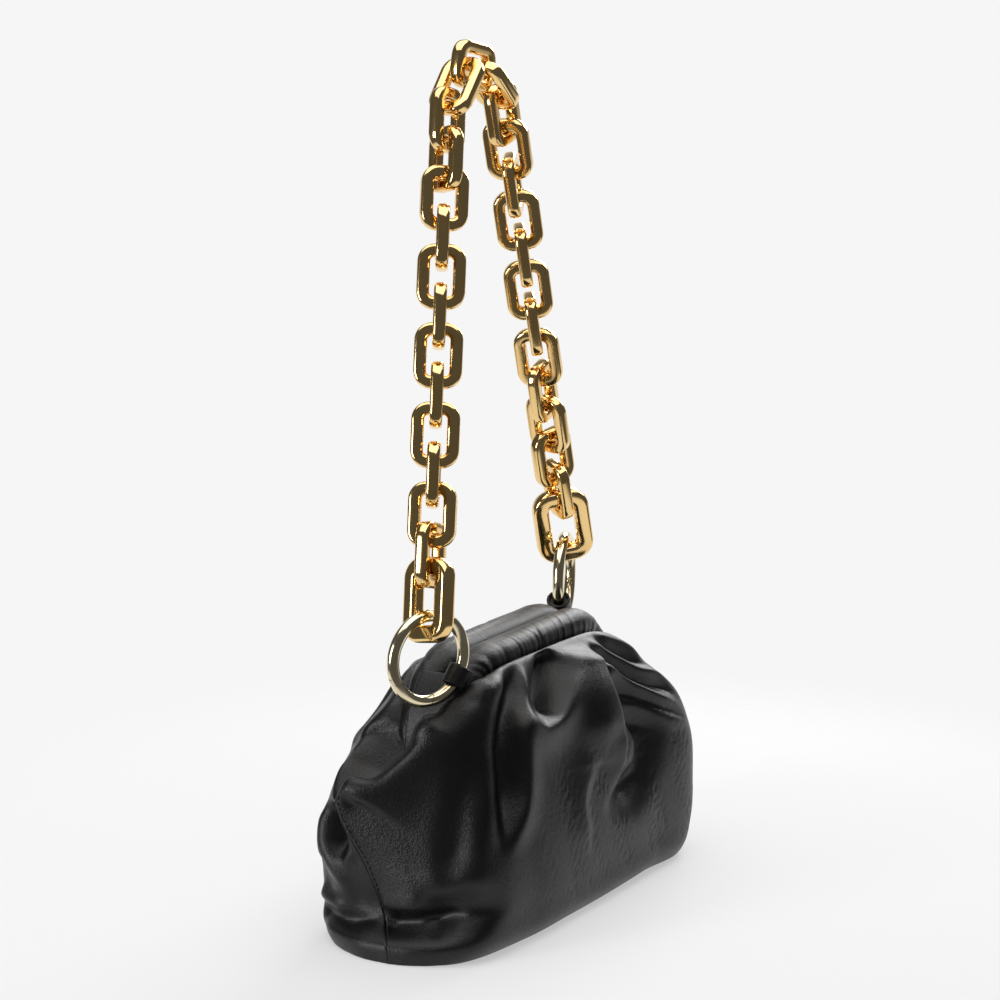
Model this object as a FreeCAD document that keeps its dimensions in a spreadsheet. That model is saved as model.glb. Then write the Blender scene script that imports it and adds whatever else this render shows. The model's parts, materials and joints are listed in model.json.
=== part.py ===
import FreeCAD, Part
import math
import os
import Sketcher
from FreeCAD import Placement, Rotation, Vector

# Chain shoulder bag. +Z is up, X is the long axis, -Y is the pleated front, and the origin is the
# middle of the base. Lengths are in millimetres and angles in degrees; every size stands in the sheet
# and can be changed by itself.
document = FreeCAD.newDocument("chain_bag")
sheet = document.addObject("Spreadsheet::Sheet", "sizes")

namedSizes = [
    ("pouch_length", 233),
    ("pouch_depth", 105),
    ("rim_height", 118),
    ("leather_thickness", 1.8),
    ("lining_thickness", 0.9),
    ("board_thickness", 2),
    ("frame_span", 152),
    ("frame_corner", 36),
    ("frame_height", 131),
    ("roll_radius", 9.5),
    ("roll_gap", 0.4),
    ("cover_thickness", 1.5),
    ("strip_thickness", 2.5),
    ("strip_width", 8),
    ("hinge_height", 86),
    ("open_angle", 26),
    ("hinge_pin_radius", 2),
    ("pin_head_radius", 3.4),
    ("running_clearance", 0.05),
    ("ear_thickness", 2),
    ("ear_radius", 4.5),
    ("ear_gap", 0.4),
    ("rim_clearance", 1),
    ("block_length", 21),
    ("block_width", 14),
    ("block_drop", 9),
    ("block_rise", 5),
    ("magnet_radius", 3.5),
    ("magnet_thickness", 2),
    ("magnet_spacing", 34),
    ("ring_radius", 21),
    ("wire_radius", 3),
    ("gate_start", 200),
    ("gate_end", 270),
    ("gate_margin", 15),
    ("gate_pin_radius", 0.9),
    ("gate_tongue", 2),
    ("gate_clearance", 0.15),
    ("latch_gap", 0.35),
    ("tab_angle", 34),
    ("tab_turn", 45),
    ("tab_wrap", 50),
    ("tab_bore", 4.7),
    ("tab_leather", 1.6),
    ("tab_length", 10),
    ("tab_width", 11),
    ("tab_lift", 0.5),
    ("left_tab_shift", 16),
    ("right_tab_shift", 14),
    ("left_ring_turn", 158),
    ("right_ring_turn", 20),
    ("link_length", 32),
    ("link_width", 23.6),
    ("link_bar", 6.2),
    ("link_round", 8.5),
    ("link_inner_round", 3.2),
    ("link_facet", 1.7),
    ("end_length", 41),
    ("end_width", 30),
    ("end_bar", 8.4),
    ("end_round", 10.5),
    ("end_inner_round", 4),
    ("end_facet", 2.3),
    ("link_gap", 0.4),
    ("ring_slack", 1.2),
    ("top_slack", 0.4),
    ("strap_lean", 13),
    ("top_turn", -4),
    ("first_slope", 52),
    ("top_slope", 12),
    ("overrun", 5),
]
size = {}
for row, (name, amount) in enumerate(namedSizes, start=1):
    sheet.set("A%d" % row, name)
    sheet.set("B%d" % row, str(amount))
    sheet.setAlias("B%d" % row, name)
    size[name] = float(amount)
document.recompute()
for name in size:
    size[name] = float(sheet.get(name))

# Cross-sections of the pouch from the base to the rim: height and half length as shares of named sizes,
# then depth and corner radius as shares of the pouch depth. The lower four follow the pouch's own length,
# and the upper four the frame, its tabs and the hinge blocks that they have to hold. The leather turns in
# above the hinge, so that the padded roll can swing out over it. The heights are about evenly spread,
# which keeps the loft free of waves.
overTab = {"frame_span": 0.5, "roll_radius": 1, "tab_lift": 1, "tab_leather": 1}
overBlock = {**overTab, "leather_thickness": 1, "lining_thickness": 1}
sectionShares = [
    ({"rim_height": 0}, {"pouch_length": 0.455}, 0.87, 0.3),
    ({"rim_height": 0.144}, {"pouch_length": 0.496}, 0.985, 0.37),
    ({"rim_height": 0.288}, {"pouch_length": 0.5}, 1.0, 0.39),
    ({"rim_height": 0.432}, {"pouch_length": 0.497}, 0.985, 0.38),
    ({"hinge_height": 0.79}, {**overBlock, "block_length": 1.1}, 0.945, 0.36),
    ({"hinge_height": 0.99}, {**overBlock, "block_length": 0.78}, 0.835, 0.32),
    ({"hinge_height": 0.5, "rim_height": 0.5}, {**overTab, "block_length": 0.22}, 0.545, 0.21),
    ({"rim_height": 1}, {"frame_span": 0.47}, 0.34, 0.12),
]

# Direction of each link's width, seen from above, from the end link upward.
leftTurns = [72, 5, 108, 28, 120, 30, 120, 30, 120, 30, 135, 63]
rightTurns = [132, 55, 158, 81, 4, 107, 30, 120, 30, 120, 22, 105]
strandLinks = len(leftTurns)

rollOffset = "(sizes.roll_radius + sizes.roll_gap / 2)"
cornerMiddle = "(sizes.frame_span / 2 - sizes.frame_corner)"
legEnd = "(sizes.frame_height - sizes.frame_corner)"
padRadius = "(sizes.roll_radius - sizes.cover_thickness)"
tabRadius = "(sizes.frame_corner + sizes.roll_radius + sizes.tab_lift)"


def formula(shares):
    return " + ".join("%s * sizes.%s" % (share, name) for name, share in shares.items())


def amount(shares):
    return sum(share * size[name] for name, share in shares.items())


def add(kind, name, **bound):
    thing = document.addObject(kind, name)
    for place, formula in bound.items():
        thing.setExpression(place, formula)
    return thing


def put(thing, x="0", y="0", z="0", turn=None):
    if turn:
        thing.Placement = Placement(Vector(), turn)
    for axis, formula in zip("xyz", (x, y, z)):
        if formula != "0":
            thing.setExpression("Placement.Base." + axis, formula)
    return thing


def cut(name, base, *tools):
    result = base
    for count, tool in enumerate(tools, start=1):
        last = count == len(tools)
        step = document.addObject("Part::Cut", name if last else "%s_cut_%d" % (name, count))
        step.Base = result
        step.Tool = tool
        result = step
    return result


def fuse(name, *pieces):
    result = document.addObject("Part::MultiFuse", name)
    result.Shapes = list(pieces)
    result.Refine = True
    return result


def common(name, *pieces):
    result = document.addObject("Part::MultiCommon", name)
    result.Shapes = list(pieces)
    return result


def cylinder(name, radius, height, angle=None):
    thing = add("Part::Cylinder", name, Radius=radius, Height=height)
    if angle:
        thing.setExpression("Angle", angle)
    return thing


def box(name, length, width, height):
    return add("Part::Box", name, Length=length, Width=width, Height=height)


def plane(body, role):
    return [each for each in body.Origin.OriginFeatures if each.Role == role][0]


def sketch(body, name, role, lift=None):
    drawing = body.newObject("Sketcher::SketchObject", name)
    drawing.AttachmentSupport = [(plane(body, role), "")]
    drawing.MapMode = "FlatFace"
    if lift:
        drawing.setExpression("AttachmentOffset.Base.z", lift)
    return drawing


def measure(drawing, kind, edge, point, formula, near=None):
    start = size["overrun"] if near is None else near
    index = drawing.addConstraint(Sketcher.Constraint(kind, edge, point, start))
    drawing.setExpression("Constraints[%d]" % index, formula)


def polygon(drawing, corners):
    first = drawing.GeometryCount
    count = len(corners)
    reach = size["overrun"]
    for index in range(count):
        ends = []
        for step in (index, index + 1):
            turn = 2 * math.pi * step / count
            ends.append(Vector(math.cos(turn) * reach, math.sin(turn) * reach, 0))
        drawing.addGeometry(Part.LineSegment(*ends), False)
    for index in range(count):
        after = first + (index + 1) % count
        drawing.addConstraint(Sketcher.Constraint("Coincident", first + index, 2, after, 1))
    for index, (x, y) in enumerate(corners):
        measure(drawing, "DistanceX", first + index, 1, x)
        measure(drawing, "DistanceY", first + index, 1, y)


def rectangle(drawing, halfLength, halfWidth):
    polygon(
        drawing,
        [
            ("-" + halfLength, "-" + halfWidth),
            (halfLength, "-" + halfWidth),
            (halfLength, halfWidth),
            ("-" + halfLength, halfWidth),
        ],
    )


def upright(shape, outside):
    limit = shape.BoundBox.XMax
    names = []
    for index, edge in enumerate(shape.Edges, start=1):
        along = edge.tangentAt(edge.FirstParameter)
        isOuter = abs(abs(edge.CenterOfMass.x) - limit) < size["link_gap"]
        if abs(along.z) > abs(along.x) + abs(along.y) and isOuter == outside:
            names.append("Edge%d" % index)
    return names


def rims(shape):
    names = []
    for index, edge in enumerate(shape.Edges, start=1):
        heights = [edge.valueAt(at).z for at in edge.ParameterRange]
        level = abs(heights[0] - heights[1]) < size["running_clearance"]
        if level and abs(edge.CenterOfMass.z) > shape.BoundBox.ZMax / 2:
            names.append("Edge%d" % index)
    return names


edgeNames = {}


def link(name, kind):
    body = document.addObject("PartDesign::Body", name)
    outline = sketch(body, name + "_outline", "XY_Plane")
    rectangle(outline, "sizes.%s_length / 2" % kind, "sizes.%s_width / 2" % kind)
    rectangle(
        outline,
        "(sizes.%s_length / 2 - sizes.%s_bar)" % (kind, kind),
        "(sizes.%s_width / 2 - sizes.%s_bar)" % (kind, kind),
    )
    pad = body.newObject("PartDesign::Pad", name + "_pad")
    pad.Profile = outline
    pad.SideType = "Symmetric"
    pad.setExpression("Length", "sizes.%s_bar" % kind)
    steps = [
        ("outside", "PartDesign::Fillet", "Radius", "round", lambda shape: upright(shape, True)),
        ("inside", "PartDesign::Fillet", "Radius", "inner_round", lambda shape: upright(shape, False)),
        ("facets", "PartDesign::Chamfer", "Size", "facet", rims),
    ]
    before = pad
    for label, feature, place, amount, choose in steps:
        key = (kind, label)
        if key not in edgeNames:
            document.recompute()
            edgeNames[key] = choose(before.Shape)
        dressed = body.newObject(feature, "%s_%s" % (name, label))
        dressed.Base = (before, edgeNames[key])
        dressed.setExpression(place, "sizes.%s_%s" % (kind, amount))
        before = dressed
    return body


# The pouch: three nested lofts give the leather, the lining and the space inside.
def pouchLoft(name, inset, floor, insetNear):
    body = document.addObject("PartDesign::Body", name)
    drawings = []
    for level, (height, length, depth, corner) in enumerate(sectionShares):
        lift = formula(height)
        if level == 0:
            lift = floor
        if level == len(sectionShares) - 1:
            lift = lift + " + sizes.overrun"
        drawing = sketch(body, "%s_section_%d" % (name, level), "XY_Plane", lift)
        formulas = (
            "(%s - %s)" % (formula(length), inset),
            "(sizes.pouch_depth * %s / 2 - %s)" % (depth, inset),
            "(sizes.pouch_depth * %s - %s)" % (corner, inset),
        )
        near = (
            amount(length) - insetNear,
            size["pouch_depth"] * depth / 2 - insetNear,
            size["pouch_depth"] * corner - insetNear,
        )
        roundedRectangle(drawing, formulas, near)
        drawings.append(drawing)
    loft = body.newObject("PartDesign::AdditiveLoft", name + "_loft")
    loft.Profile = drawings[0]
    loft.Sections = drawings[1:]
    loft.Ruled = False
    return body


def roundedRectangle(drawing, formulas, near):
    length, depth, bend = near
    right, up, left, down = range(4)
    straights = [
        (Vector(length, bend - depth, 0), Vector(length, depth - bend, 0)),
        (Vector(length - bend, depth, 0), Vector(bend - length, depth, 0)),
        (Vector(-length, depth - bend, 0), Vector(-length, bend - depth, 0)),
        (Vector(bend - length, -depth, 0), Vector(length - bend, -depth, 0)),
    ]
    for ends in straights:
        drawing.addGeometry(Part.LineSegment(*ends), False)
    quarter = math.pi / 2
    for index, (x, y) in enumerate([(1, 1), (-1, 1), (-1, -1), (1, -1)]):
        middle = Vector(x * (length - bend), y * (depth - bend), 0)
        ring = Part.Circle(middle, Vector(0, 0, 1), bend)
        drawing.addGeometry(Part.ArcOfCircle(ring, index * quarter, (index + 1) * quarter), False)
    for index in range(4):
        drawing.addConstraint(Sketcher.Constraint("Tangent", index, 2, 4 + index, 1))
        drawing.addConstraint(Sketcher.Constraint("Tangent", 4 + index, 2, (index + 1) % 4, 1))
    drawing.addConstraint(Sketcher.Constraint("Vertical", right))
    drawing.addConstraint(Sketcher.Constraint("Horizontal", up))
    for index in (5, 6, 7):
        drawing.addConstraint(Sketcher.Constraint("Equal", 4, index))
    halfLength, halfDepth, radius = formulas
    index = drawing.addConstraint(Sketcher.Constraint("Radius", 4, bend))
    drawing.setExpression("Constraints[%d]" % index, radius)
    measure(drawing, "DistanceX", right, 1, halfLength, length)
    measure(drawing, "DistanceX", left, 1, "-" + halfLength, -length)
    measure(drawing, "DistanceY", up, 1, halfDepth, depth)
    measure(drawing, "DistanceY", down, 1, "-" + halfDepth, -depth)


lining = "(sizes.leather_thickness + sizes.lining_thickness)"
boardTop = "(sizes.leather_thickness + sizes.board_thickness)"
leatherDepth = size["leather_thickness"]
liningDepth = leatherDepth + size["lining_thickness"]
outerForm = pouchLoft("outer_form", "0", "0", 0)
middleForm = pouchLoft("middle_form", "sizes.leather_thickness", "sizes.leather_thickness", leatherDepth)
innerForm = pouchLoft("inner_form", lining, boardTop + " + sizes.lining_thickness", liningDepth)

# Room for the opening frame: everything outside the mouth's own turned form, within the angle that the
# rolls sweep.
sweepReach = "sizes.pouch_length"
legRoomRadius = "(3 * sizes.roll_radius)"
rollEdge = "(%s + sizes.roll_radius + sizes.rim_clearance)" % rollOffset
sweepAngle = "(sizes.open_angle * 1 deg + asin(%s / %s))" % (rollEdge, legRoomRadius)
rollEdgeNear = 2 * size["roll_radius"] + size["roll_gap"] / 2 + size["rim_clearance"]
sweepTurn = size["open_angle"] + math.degrees(math.asin(rollEdgeNear / (3 * size["roll_radius"])))
notchHalf = "(sizes.frame_span / 2 + sizes.roll_radius + sizes.rim_clearance * 3)"
alongX = Rotation(Vector(0, 1, 0), 90)


def sweepRoom(name):
    body = document.addObject("PartDesign::Body", name + "_mouth")
    drawing = sketch(body, name + "_profile", "XZ_Plane")
    arm = "sqrt((sizes.frame_height - sizes.hinge_height) ^ 2 + %s ^ 2)" % rollOffset
    top = "(%s - sizes.roll_radius - sizes.rim_clearance)" % arm
    bend = "(sizes.frame_corner - sizes.roll_radius - sizes.rim_clearance)"
    outline = [("-(%s + %s)" % (cornerMiddle, bend), "0")]
    steps = 6
    for step in range(steps + 1):
        turn = math.pi / 2 * step / steps
        far = "-(%s + %s * %.4f)" % (cornerMiddle, bend, math.cos(turn))
        outline.append((far, "(%s - %s * %.4f)" % (top, bend, 1 - math.sin(turn))))
    mirrored = [(x[1:], y) for x, y in reversed(outline)]
    polygon(drawing, outline + mirrored)
    turned = body.newObject("PartDesign::Revolution", name + "_turned")
    turned.Profile = drawing
    turned.ReferenceAxis = (drawing, ["H_Axis"])
    turned.Angle = 360
    put(body, z="sizes.hinge_height")
    wedge = cylinder(name + "_wedge", sweepReach, "2 * " + notchHalf, "2 * " + sweepAngle)
    wedge.Placement = Placement(Vector(), Rotation(Vector(1, 0, 0), 180 - sweepTurn).multiply(alongX))
    legRoom = cylinder(name + "_leg_room", legRoomRadius, "2 * " + notchHalf)
    legRoom.Placement = Placement(Vector(), alongX)
    for each in (wedge, legRoom):
        put(each, x="-" + notchHalf, z="sizes.hinge_height")
    return cut(name, fuse(name + "_whole", wedge, legRoom), body)


frameRoom = sweepRoom("frame_room")
rimTrim = put(
    box("rim_trim", "2 * sizes.pouch_length", "2 * sizes.pouch_depth", "2 * sizes.rim_height"),
    x="-sizes.pouch_length",
    y="-sizes.pouch_depth",
    z="sizes.rim_height",
)
leatherShell = cut("leather_shell", outerForm, middleForm, frameRoom, rimTrim)


def halfSpace(name, front):
    far = "2 * sizes.pouch_length"
    thing = box(name, far, "sizes.pouch_depth", far)
    return put(thing, x="-sizes.pouch_length", y="-sizes.pouch_depth" if front else "0", z="-sizes.overrun")


frontPanel = common("front_panel", leatherShell, halfSpace("front_half", True))
backPanel = common("back_panel", leatherShell, halfSpace("back_half", False))
boardSpace = put(
    box("board_space", "2 * sizes.pouch_length", "2 * sizes.pouch_depth", boardTop),
    x="-sizes.pouch_length",
    y="-sizes.pouch_depth",
)
baseBoard = common("base_board", middleForm, boardSpace)
liningBag = cut("lining", middleForm, boardSpace, innerForm, frameRoom, rimTrim)


# Frame halves: a steel strip bent to a U, its foam, its leather roll and its magnets. The front half is
# built in place and the back half is the same half turned half a turn about the vertical.
facingRight = Rotation(Vector(1, 0, 0), 90)
facingLeft = Rotation(Vector(0, 0, 1), 180).multiply(facingRight)
earShift = "((sizes.ear_thickness + sizes.ear_gap) / 2)"
stripOuter = "sizes.frame_corner + sizes.strip_thickness / 2"
stripInner = "sizes.frame_corner - sizes.strip_thickness / 2"


def roundArch(name, radius):
    pieces = []
    for side, facing, sign in (("right", facingRight, ""), ("left", facingLeft, "-")):
        bend = add("Part::Torus", "%s_%s" % (name, side), Radius1="sizes.frame_corner", Radius2=radius)
        bend.Angle3 = 90
        put(bend, sign + cornerMiddle, "-" + rollOffset, legEnd, facing)
        pieces.append(bend)
    bar = cylinder(name + "_bar", radius, "2 * " + cornerMiddle)
    pieces.append(put(bar, "-" + cornerMiddle, "-" + rollOffset, "sizes.frame_height", alongX))
    return fuse(name, *pieces)


def ear(name, shift):
    body = document.addObject("PartDesign::Body", name)
    drawing = sketch(body, name + "_outline", "YZ_Plane")
    far = "(-%s - sizes.strip_width / 2)" % rollOffset
    near = "(-%s + sizes.strip_width / 2)" % rollOffset
    high = "(%s + sizes.ear_thickness)" % legEnd
    low = "(%s - sizes.ear_thickness)" % legEnd
    corners = [
        (far, high),
        (far, low),
        ("-sizes.ear_radius", "sizes.hinge_height"),
        ("0", "(sizes.hinge_height - sizes.ear_radius)"),
        ("sizes.ear_radius", "sizes.hinge_height"),
        (near, low),
        (near, high),
    ]
    polygon(drawing, corners)
    pad = body.newObject("PartDesign::Pad", name + "_pad")
    pad.Profile = drawing
    pad.SideType = "Symmetric"
    pad.setExpression("Length", "sizes.ear_thickness")
    put(body, x=shift)
    disc = cylinder(name + "_disc", "sizes.ear_radius", "sizes.ear_thickness")
    put(disc, "%s - sizes.ear_thickness / 2" % shift, "0", "sizes.hinge_height", alongX)
    return [body, disc]


def strip(name):
    pieces = []
    for side, facing, sign in (("right", facingRight, ""), ("left", facingLeft, "-")):
        label = "%s_%s" % (name, side)
        outer = cylinder(label + "_outer", stripOuter, "sizes.strip_width")
        inner = cylinder(label + "_inner", stripInner, "sizes.strip_width")
        across = "-%s %s sizes.strip_width / 2" % (rollOffset, "+" if side == "right" else "-")
        for each in (outer, inner):
            each.Angle = 90
            put(each, sign + cornerMiddle, across, legEnd, facing)
        pieces.append(cut(label, outer, inner))
    bar = box(name + "_bar", "2 * " + cornerMiddle, "sizes.strip_width", "sizes.strip_thickness")
    low = "sizes.frame_height - sizes.strip_thickness / 2"
    pieces.append(put(bar, "-" + cornerMiddle, "-%s - sizes.strip_width / 2" % rollOffset, low))
    pieces += ear(name + "_left_ear", "(-sizes.frame_span / 2 + %s)" % earShift)
    pieces += ear(name + "_right_ear", "(sizes.frame_span / 2 + %s)" % earShift)
    eyeRadius = "sizes.hinge_pin_radius + sizes.running_clearance"
    eye = cylinder(name + "_eye", eyeRadius, "2 * sizes.frame_span")
    put(eye, "-sizes.frame_span", "0", "sizes.hinge_height", alongX)
    return cut(name, fuse(name + "_whole", *pieces), eye)


def magnets(name):
    discs = []
    for place in (-1, 0, 1):
        disc = cylinder("%s_%d" % (name, place + 2), "sizes.magnet_radius", "sizes.magnet_thickness")
        across = "-%s + sizes.strip_width / 2 + sizes.magnet_thickness" % rollOffset
        along = "%d * sizes.magnet_spacing" % place
        discs.append(put(disc, along, across, "sizes.frame_height", facingRight))
    return fuse(name, *discs)


halfTurn = Placement(Vector(), Rotation(Vector(0, 0, 1), 180))
half = {}
for side in ("front", "back"):
    steel = strip("frame_%s_space" % side)
    discs = magnets("magnets_%s_space" % side)
    core = roundArch("core_" + side, padRadius)
    foam = cut("roll_padding_" + side, core, steel, discs)
    cover = cut("frame_roll_" + side, roundArch("roll_%s_whole" % side, "sizes.roll_radius"), core, steel)
    half[side] = [strip("frame_" + side), magnets("magnets_" + side), foam, cover]
    if side == "back":
        for each in half[side]:
            each.Placement = halfTurn

# Hinge pins and the blocks that tie them to the pouch. Each pin carries both halves' ears.
tabInside = "(%s + %s)" % (cornerMiddle, tabRadius)
tabOutside = "(%s + sizes.tab_leather)" % tabInside
pinInside = "(sizes.frame_span / 2 - 2 * %s - sizes.ear_thickness)" % earShift
hingeNodes = []
for side, sign in (("left", "-"), ("right", "")):
    pinEnd = "(%s + sizes.block_rise)" % tabOutside
    pinLength = "(%s - %s)" % (pinEnd, pinInside)
    pin = cylinder("hinge_pin_%s_stem" % side, "sizes.hinge_pin_radius", pinLength)
    head = cylinder("hinge_pin_%s_head" % side, "sizes.pin_head_radius", "sizes.ear_thickness / 2")
    start = "-" + pinEnd if sign else pinInside
    headStart = "-%s" % pinInside if sign else "%s - sizes.ear_thickness / 2" % pinInside
    put(pin, start, "0", "sizes.hinge_height", alongX)
    put(head, headStart, "0", "sizes.hinge_height", alongX)
    hingePin = fuse("hinge_pin_" + side, pin, head)
    block = box("hinge_block_%s_whole" % side, "sizes.pouch_length", "sizes.block_width",
                "sizes.block_drop + sizes.block_rise")
    blockStart = "-%s - sizes.pouch_length" % tabOutside if sign else tabOutside
    put(block, blockStart, "-sizes.block_width / 2", "sizes.hinge_height - sizes.block_drop")
    trimmed = common("hinge_block_%s_trimmed" % side, block, innerForm)
    hingeNodes += [hingePin, cut("hinge_block_" + side, trimmed, pin)]

# Rings: each stands in its own upright plane and hangs from a leather tab over the frame's corner.
upward = Vector(0, 0, 1)


def direction(turn):
    return Vector(math.cos(math.radians(turn)), math.sin(math.radians(turn)), 0)


middleOfCorner = size["frame_span"] / 2 - size["frame_corner"]
legBottom = size["frame_height"] - size["frame_corner"]
tubeRadius = size["tab_bore"] + size["tab_leather"]
bandMiddle = size["frame_corner"] + size["roll_radius"] + size["tab_lift"] + size["tab_leather"] / 2
tabMiddle = bandMiddle + tubeRadius
cornerTurn = direction(size["tab_turn"])
ringPlace = {}
ringMiddle = {}
tabPoint = {}
for side, sign, shift in (("left", -1, "left_tab_shift"), ("right", 1, "right_tab_shift")):
    point = Vector(
        sign * (middleOfCorner + tabMiddle * cornerTurn.x),
        sign * size[shift],
        legBottom + tabMiddle * cornerTurn.y,
    )
    outward = direction(size[side + "_ring_turn"])
    lowered = math.radians(size["tab_angle"])
    middle = point + outward * size["ring_radius"] * math.cos(lowered)
    middle += upward * size["ring_radius"] * math.sin(lowered)
    inward = outward * -1
    ringPlace[side] = Placement(middle, Rotation(inward, upward, inward.cross(upward), "XYZ"))
    ringMiddle[side] = middle
    tabPoint[side] = point

pinTurn = direction(size["gate_start"])
latchReach = 2 * size["ring_radius"] * math.sin(math.radians(size["gate_end"] - size["gate_start"]) / 2)
latchFormula = "(2 * sizes.ring_radius * sin((sizes.gate_end - sizes.gate_start) / 2 * 1 deg))"
knuckle = "sizes.wire_radius"
wireHeight = "4 * sizes.wire_radius"


def atPin(name, radius, height):
    thing = cylinder(name, radius, height)
    return put(
        thing,
        "sizes.ring_radius * cos(sizes.gate_start * 1 deg)",
        "sizes.ring_radius * sin(sizes.gate_start * 1 deg)",
        "-(%s) / 2" % height,
    )


def torus(name):
    return add("Part::Torus", name, Radius1="sizes.ring_radius", Radius2="sizes.wire_radius")


def sector(name):
    spread = "sizes.gate_end - sizes.gate_start + sizes.gate_margin"
    thing = cylinder(name, "2 * sizes.ring_radius", wireHeight, spread)
    return put(thing, z="-(%s) / 2" % wireHeight, turn=Rotation(upward, size["gate_start"]))


ringNodes = []
for side in ("left", "right"):
    label = "ring_" + side
    wholeRing = torus(label + "_torus")
    gateSpace = common(
        label + "_gate_space",
        sector(label + "_sector"),
        atPin(label + "_latch", latchFormula + " + sizes.latch_gap", wireHeight),
    )
    roundEnd = atPin(label + "_round", knuckle, wireHeight)
    rounded = common(label + "_knuckle", torus(label + "_end"), roundEnd)
    slot = atPin(
        label + "_slot",
        "sizes.wire_radius + 2 * sizes.gate_clearance",
        "sizes.gate_tongue + 2 * sizes.gate_clearance",
    )
    gatePin = common(
        "gate_pin_" + side,
        torus("gate_pin_%s_torus" % side),
        atPin("gate_pin_%s_stem" % side, "sizes.gate_pin_radius", wireHeight),
    )
    pinHole = atPin(label + "_pin_hole", "sizes.gate_pin_radius", wireHeight)
    openRing = fuse(label + "_whole", cut(label + "_open", wholeRing, gateSpace), rounded)
    ring = cut(label, openRing, slot, pinHole)

    label = "gate_" + side
    arc = common(
        label + "_arc",
        torus(label + "_torus"),
        sector(label + "_sector"),
        atPin(label + "_latch", latchFormula, wireHeight),
    )
    clearing = cut(
        label + "_clearing",
        atPin(label + "_room", "sizes.wire_radius + sizes.gate_clearance", wireHeight),
        atPin(label + "_web", "2 * sizes.wire_radius", "sizes.gate_tongue"),
    )
    tongue = common(
        label + "_tongue",
        torus(label + "_tongue_torus"),
        atPin(label + "_tongue_disc", "sizes.wire_radius - sizes.gate_clearance", "sizes.gate_tongue"),
    )
    body = fuse(label + "_whole", cut(label + "_shaped", arc, clearing), tongue)
    eye = atPin(label + "_eye", "sizes.gate_pin_radius + sizes.running_clearance", wireHeight)
    gate = cut(label, body, eye)
    for each in (ring, gatePin, gate):
        each.Placement = ringPlace[side]
    ringNodes += [ring, gatePin, gate]

# Tabs: a strip over the frame's corner, down to the hinge pin, with a sewn tube for the ring's wire.
tubeFormula = "sizes.tab_bore + sizes.tab_leather"
tabNodes = []
for side, sign, facing in (("left", "-", facingLeft), ("right", "", facingRight)):
    label = "ring_tab_" + side
    width = "(sizes.%s_tab_shift + sizes.tab_width)" % side
    start = "%s(sizes.%s_tab_shift + sizes.tab_width / 4)" % (sign, side)
    low = "sizes.hinge_height - sizes.block_drop"
    arcs = []
    for part, radius in (("outer", "%s + sizes.tab_leather" % tabRadius), ("inner", tabRadius)):
        piece = cylinder("%s_%s" % (label, part), radius, width)
        piece.setExpression("Angle", "sizes.tab_wrap")
        arcs.append(put(piece, sign + cornerMiddle, start, legEnd, facing))
    flap = box(label + "_flap", "sizes.tab_leather", width, "%s - (%s)" % (legEnd, low))
    put(
        flap,
        "-" + tabOutside if sign else tabInside,
        start if sign else "%s - %s" % (start, width),
        low,
    )
    slope = math.radians(size["tab_angle"])
    along = ringPlace[side].Rotation.multVec(Vector(math.sin(slope), math.cos(slope), 0))
    tubes = []
    for part, radius, over in (("tube", tubeFormula, 1), ("bore", "sizes.tab_bore", 3)):
        piece = cylinder("%s_%s" % (label, part), radius, "%d * sizes.tab_length" % over)
        base = tabPoint[side] - along * (size["tab_length"] * over / 2)
        piece.Placement = Placement(base, Rotation(upward, along))
        tubes.append(piece)
    pinRoom = cylinder(label + "_pin_hole", "sizes.hinge_pin_radius", "2 * sizes.pouch_length")
    put(pinRoom, "-sizes.pouch_length", "0", "sizes.hinge_height", alongX)
    strap = fuse(label + "_whole", cut(label + "_band", *arcs), flap, tubes[0])
    tabNodes.append(cut(label, strap, tubes[1], pinRoom))

# The chain: two straight strands that rise from the rings and lean together, and three links across the
# top.
linkSpan = size["link_length"] - size["link_bar"]
endSpan = size["end_length"] - size["end_bar"]
hook = size["link_bar"] + size["link_gap"]
ringHook = size["link_gap"] + size["ring_slack"]
topHook = hook + size["top_slack"]
reaches = [-(size["wire_radius"] + ringHook + size["end_bar"] / 2)]
spans = [endSpan] + [linkSpan] * strandLinks
bars = [size["end_bar"]] + [size["link_bar"]] * strandLinks
contactReach = [-(size["wire_radius"] + ringHook / 2)]
for index in range(1, len(spans)):
    topBar = reaches[-1] + spans[index - 1]
    contactReach.append(topBar - (bars[index - 1] + size["link_gap"]) / 2)
    reaches.append(topBar - (bars[index - 1] + bars[index]) / 2 - size["link_gap"])
strandTop = reaches[-1] + spans[-1]
contactReach.append(strandTop - topHook / 2)
strandReach = strandTop - topHook

across = direction(size["top_turn"])
sideways = upward.cross(across)
slope = math.radians(size["first_slope"])
dip = math.radians(size["top_slope"])
fall = math.asin(math.sin(slope) - (linkSpan - 2 * topHook) / linkSpan * math.sin(dip))
risingWay = across * math.cos(slope) + upward * math.sin(slope)
topWay = across * math.cos(dip) - upward * math.sin(dip)
fallingWay = across * math.cos(fall) - upward * math.sin(fall)
topHalf = (linkSpan * (math.cos(slope) + math.cos(fall)) + (linkSpan - 2 * topHook) * math.cos(dip)) / 2

foot = {side: ringMiddle[side] + upward * size["ring_radius"] for side in ringMiddle}
chord = (foot["right"] - foot["left"]) * 0.5 - across * topHalf
lean = upward.cross(chord).normalize() * size["strap_lean"]
level = (foot["left"] + foot["right"]) * 0.5 + lean
leftTop = level - across * topHalf
rightTop = level + across * topHalf
run = (leftTop - foot["left"]).Length
rise = math.sqrt(strandReach ** 2 - run ** 2)
leftTop += upward * rise
rightTop += upward * rise


def linkPlace(middle, along, width):
    width = width - along * width.dot(along)
    width.normalize()
    return Placement(middle, Rotation(along, width, along.cross(width), "XYZ"))


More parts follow.
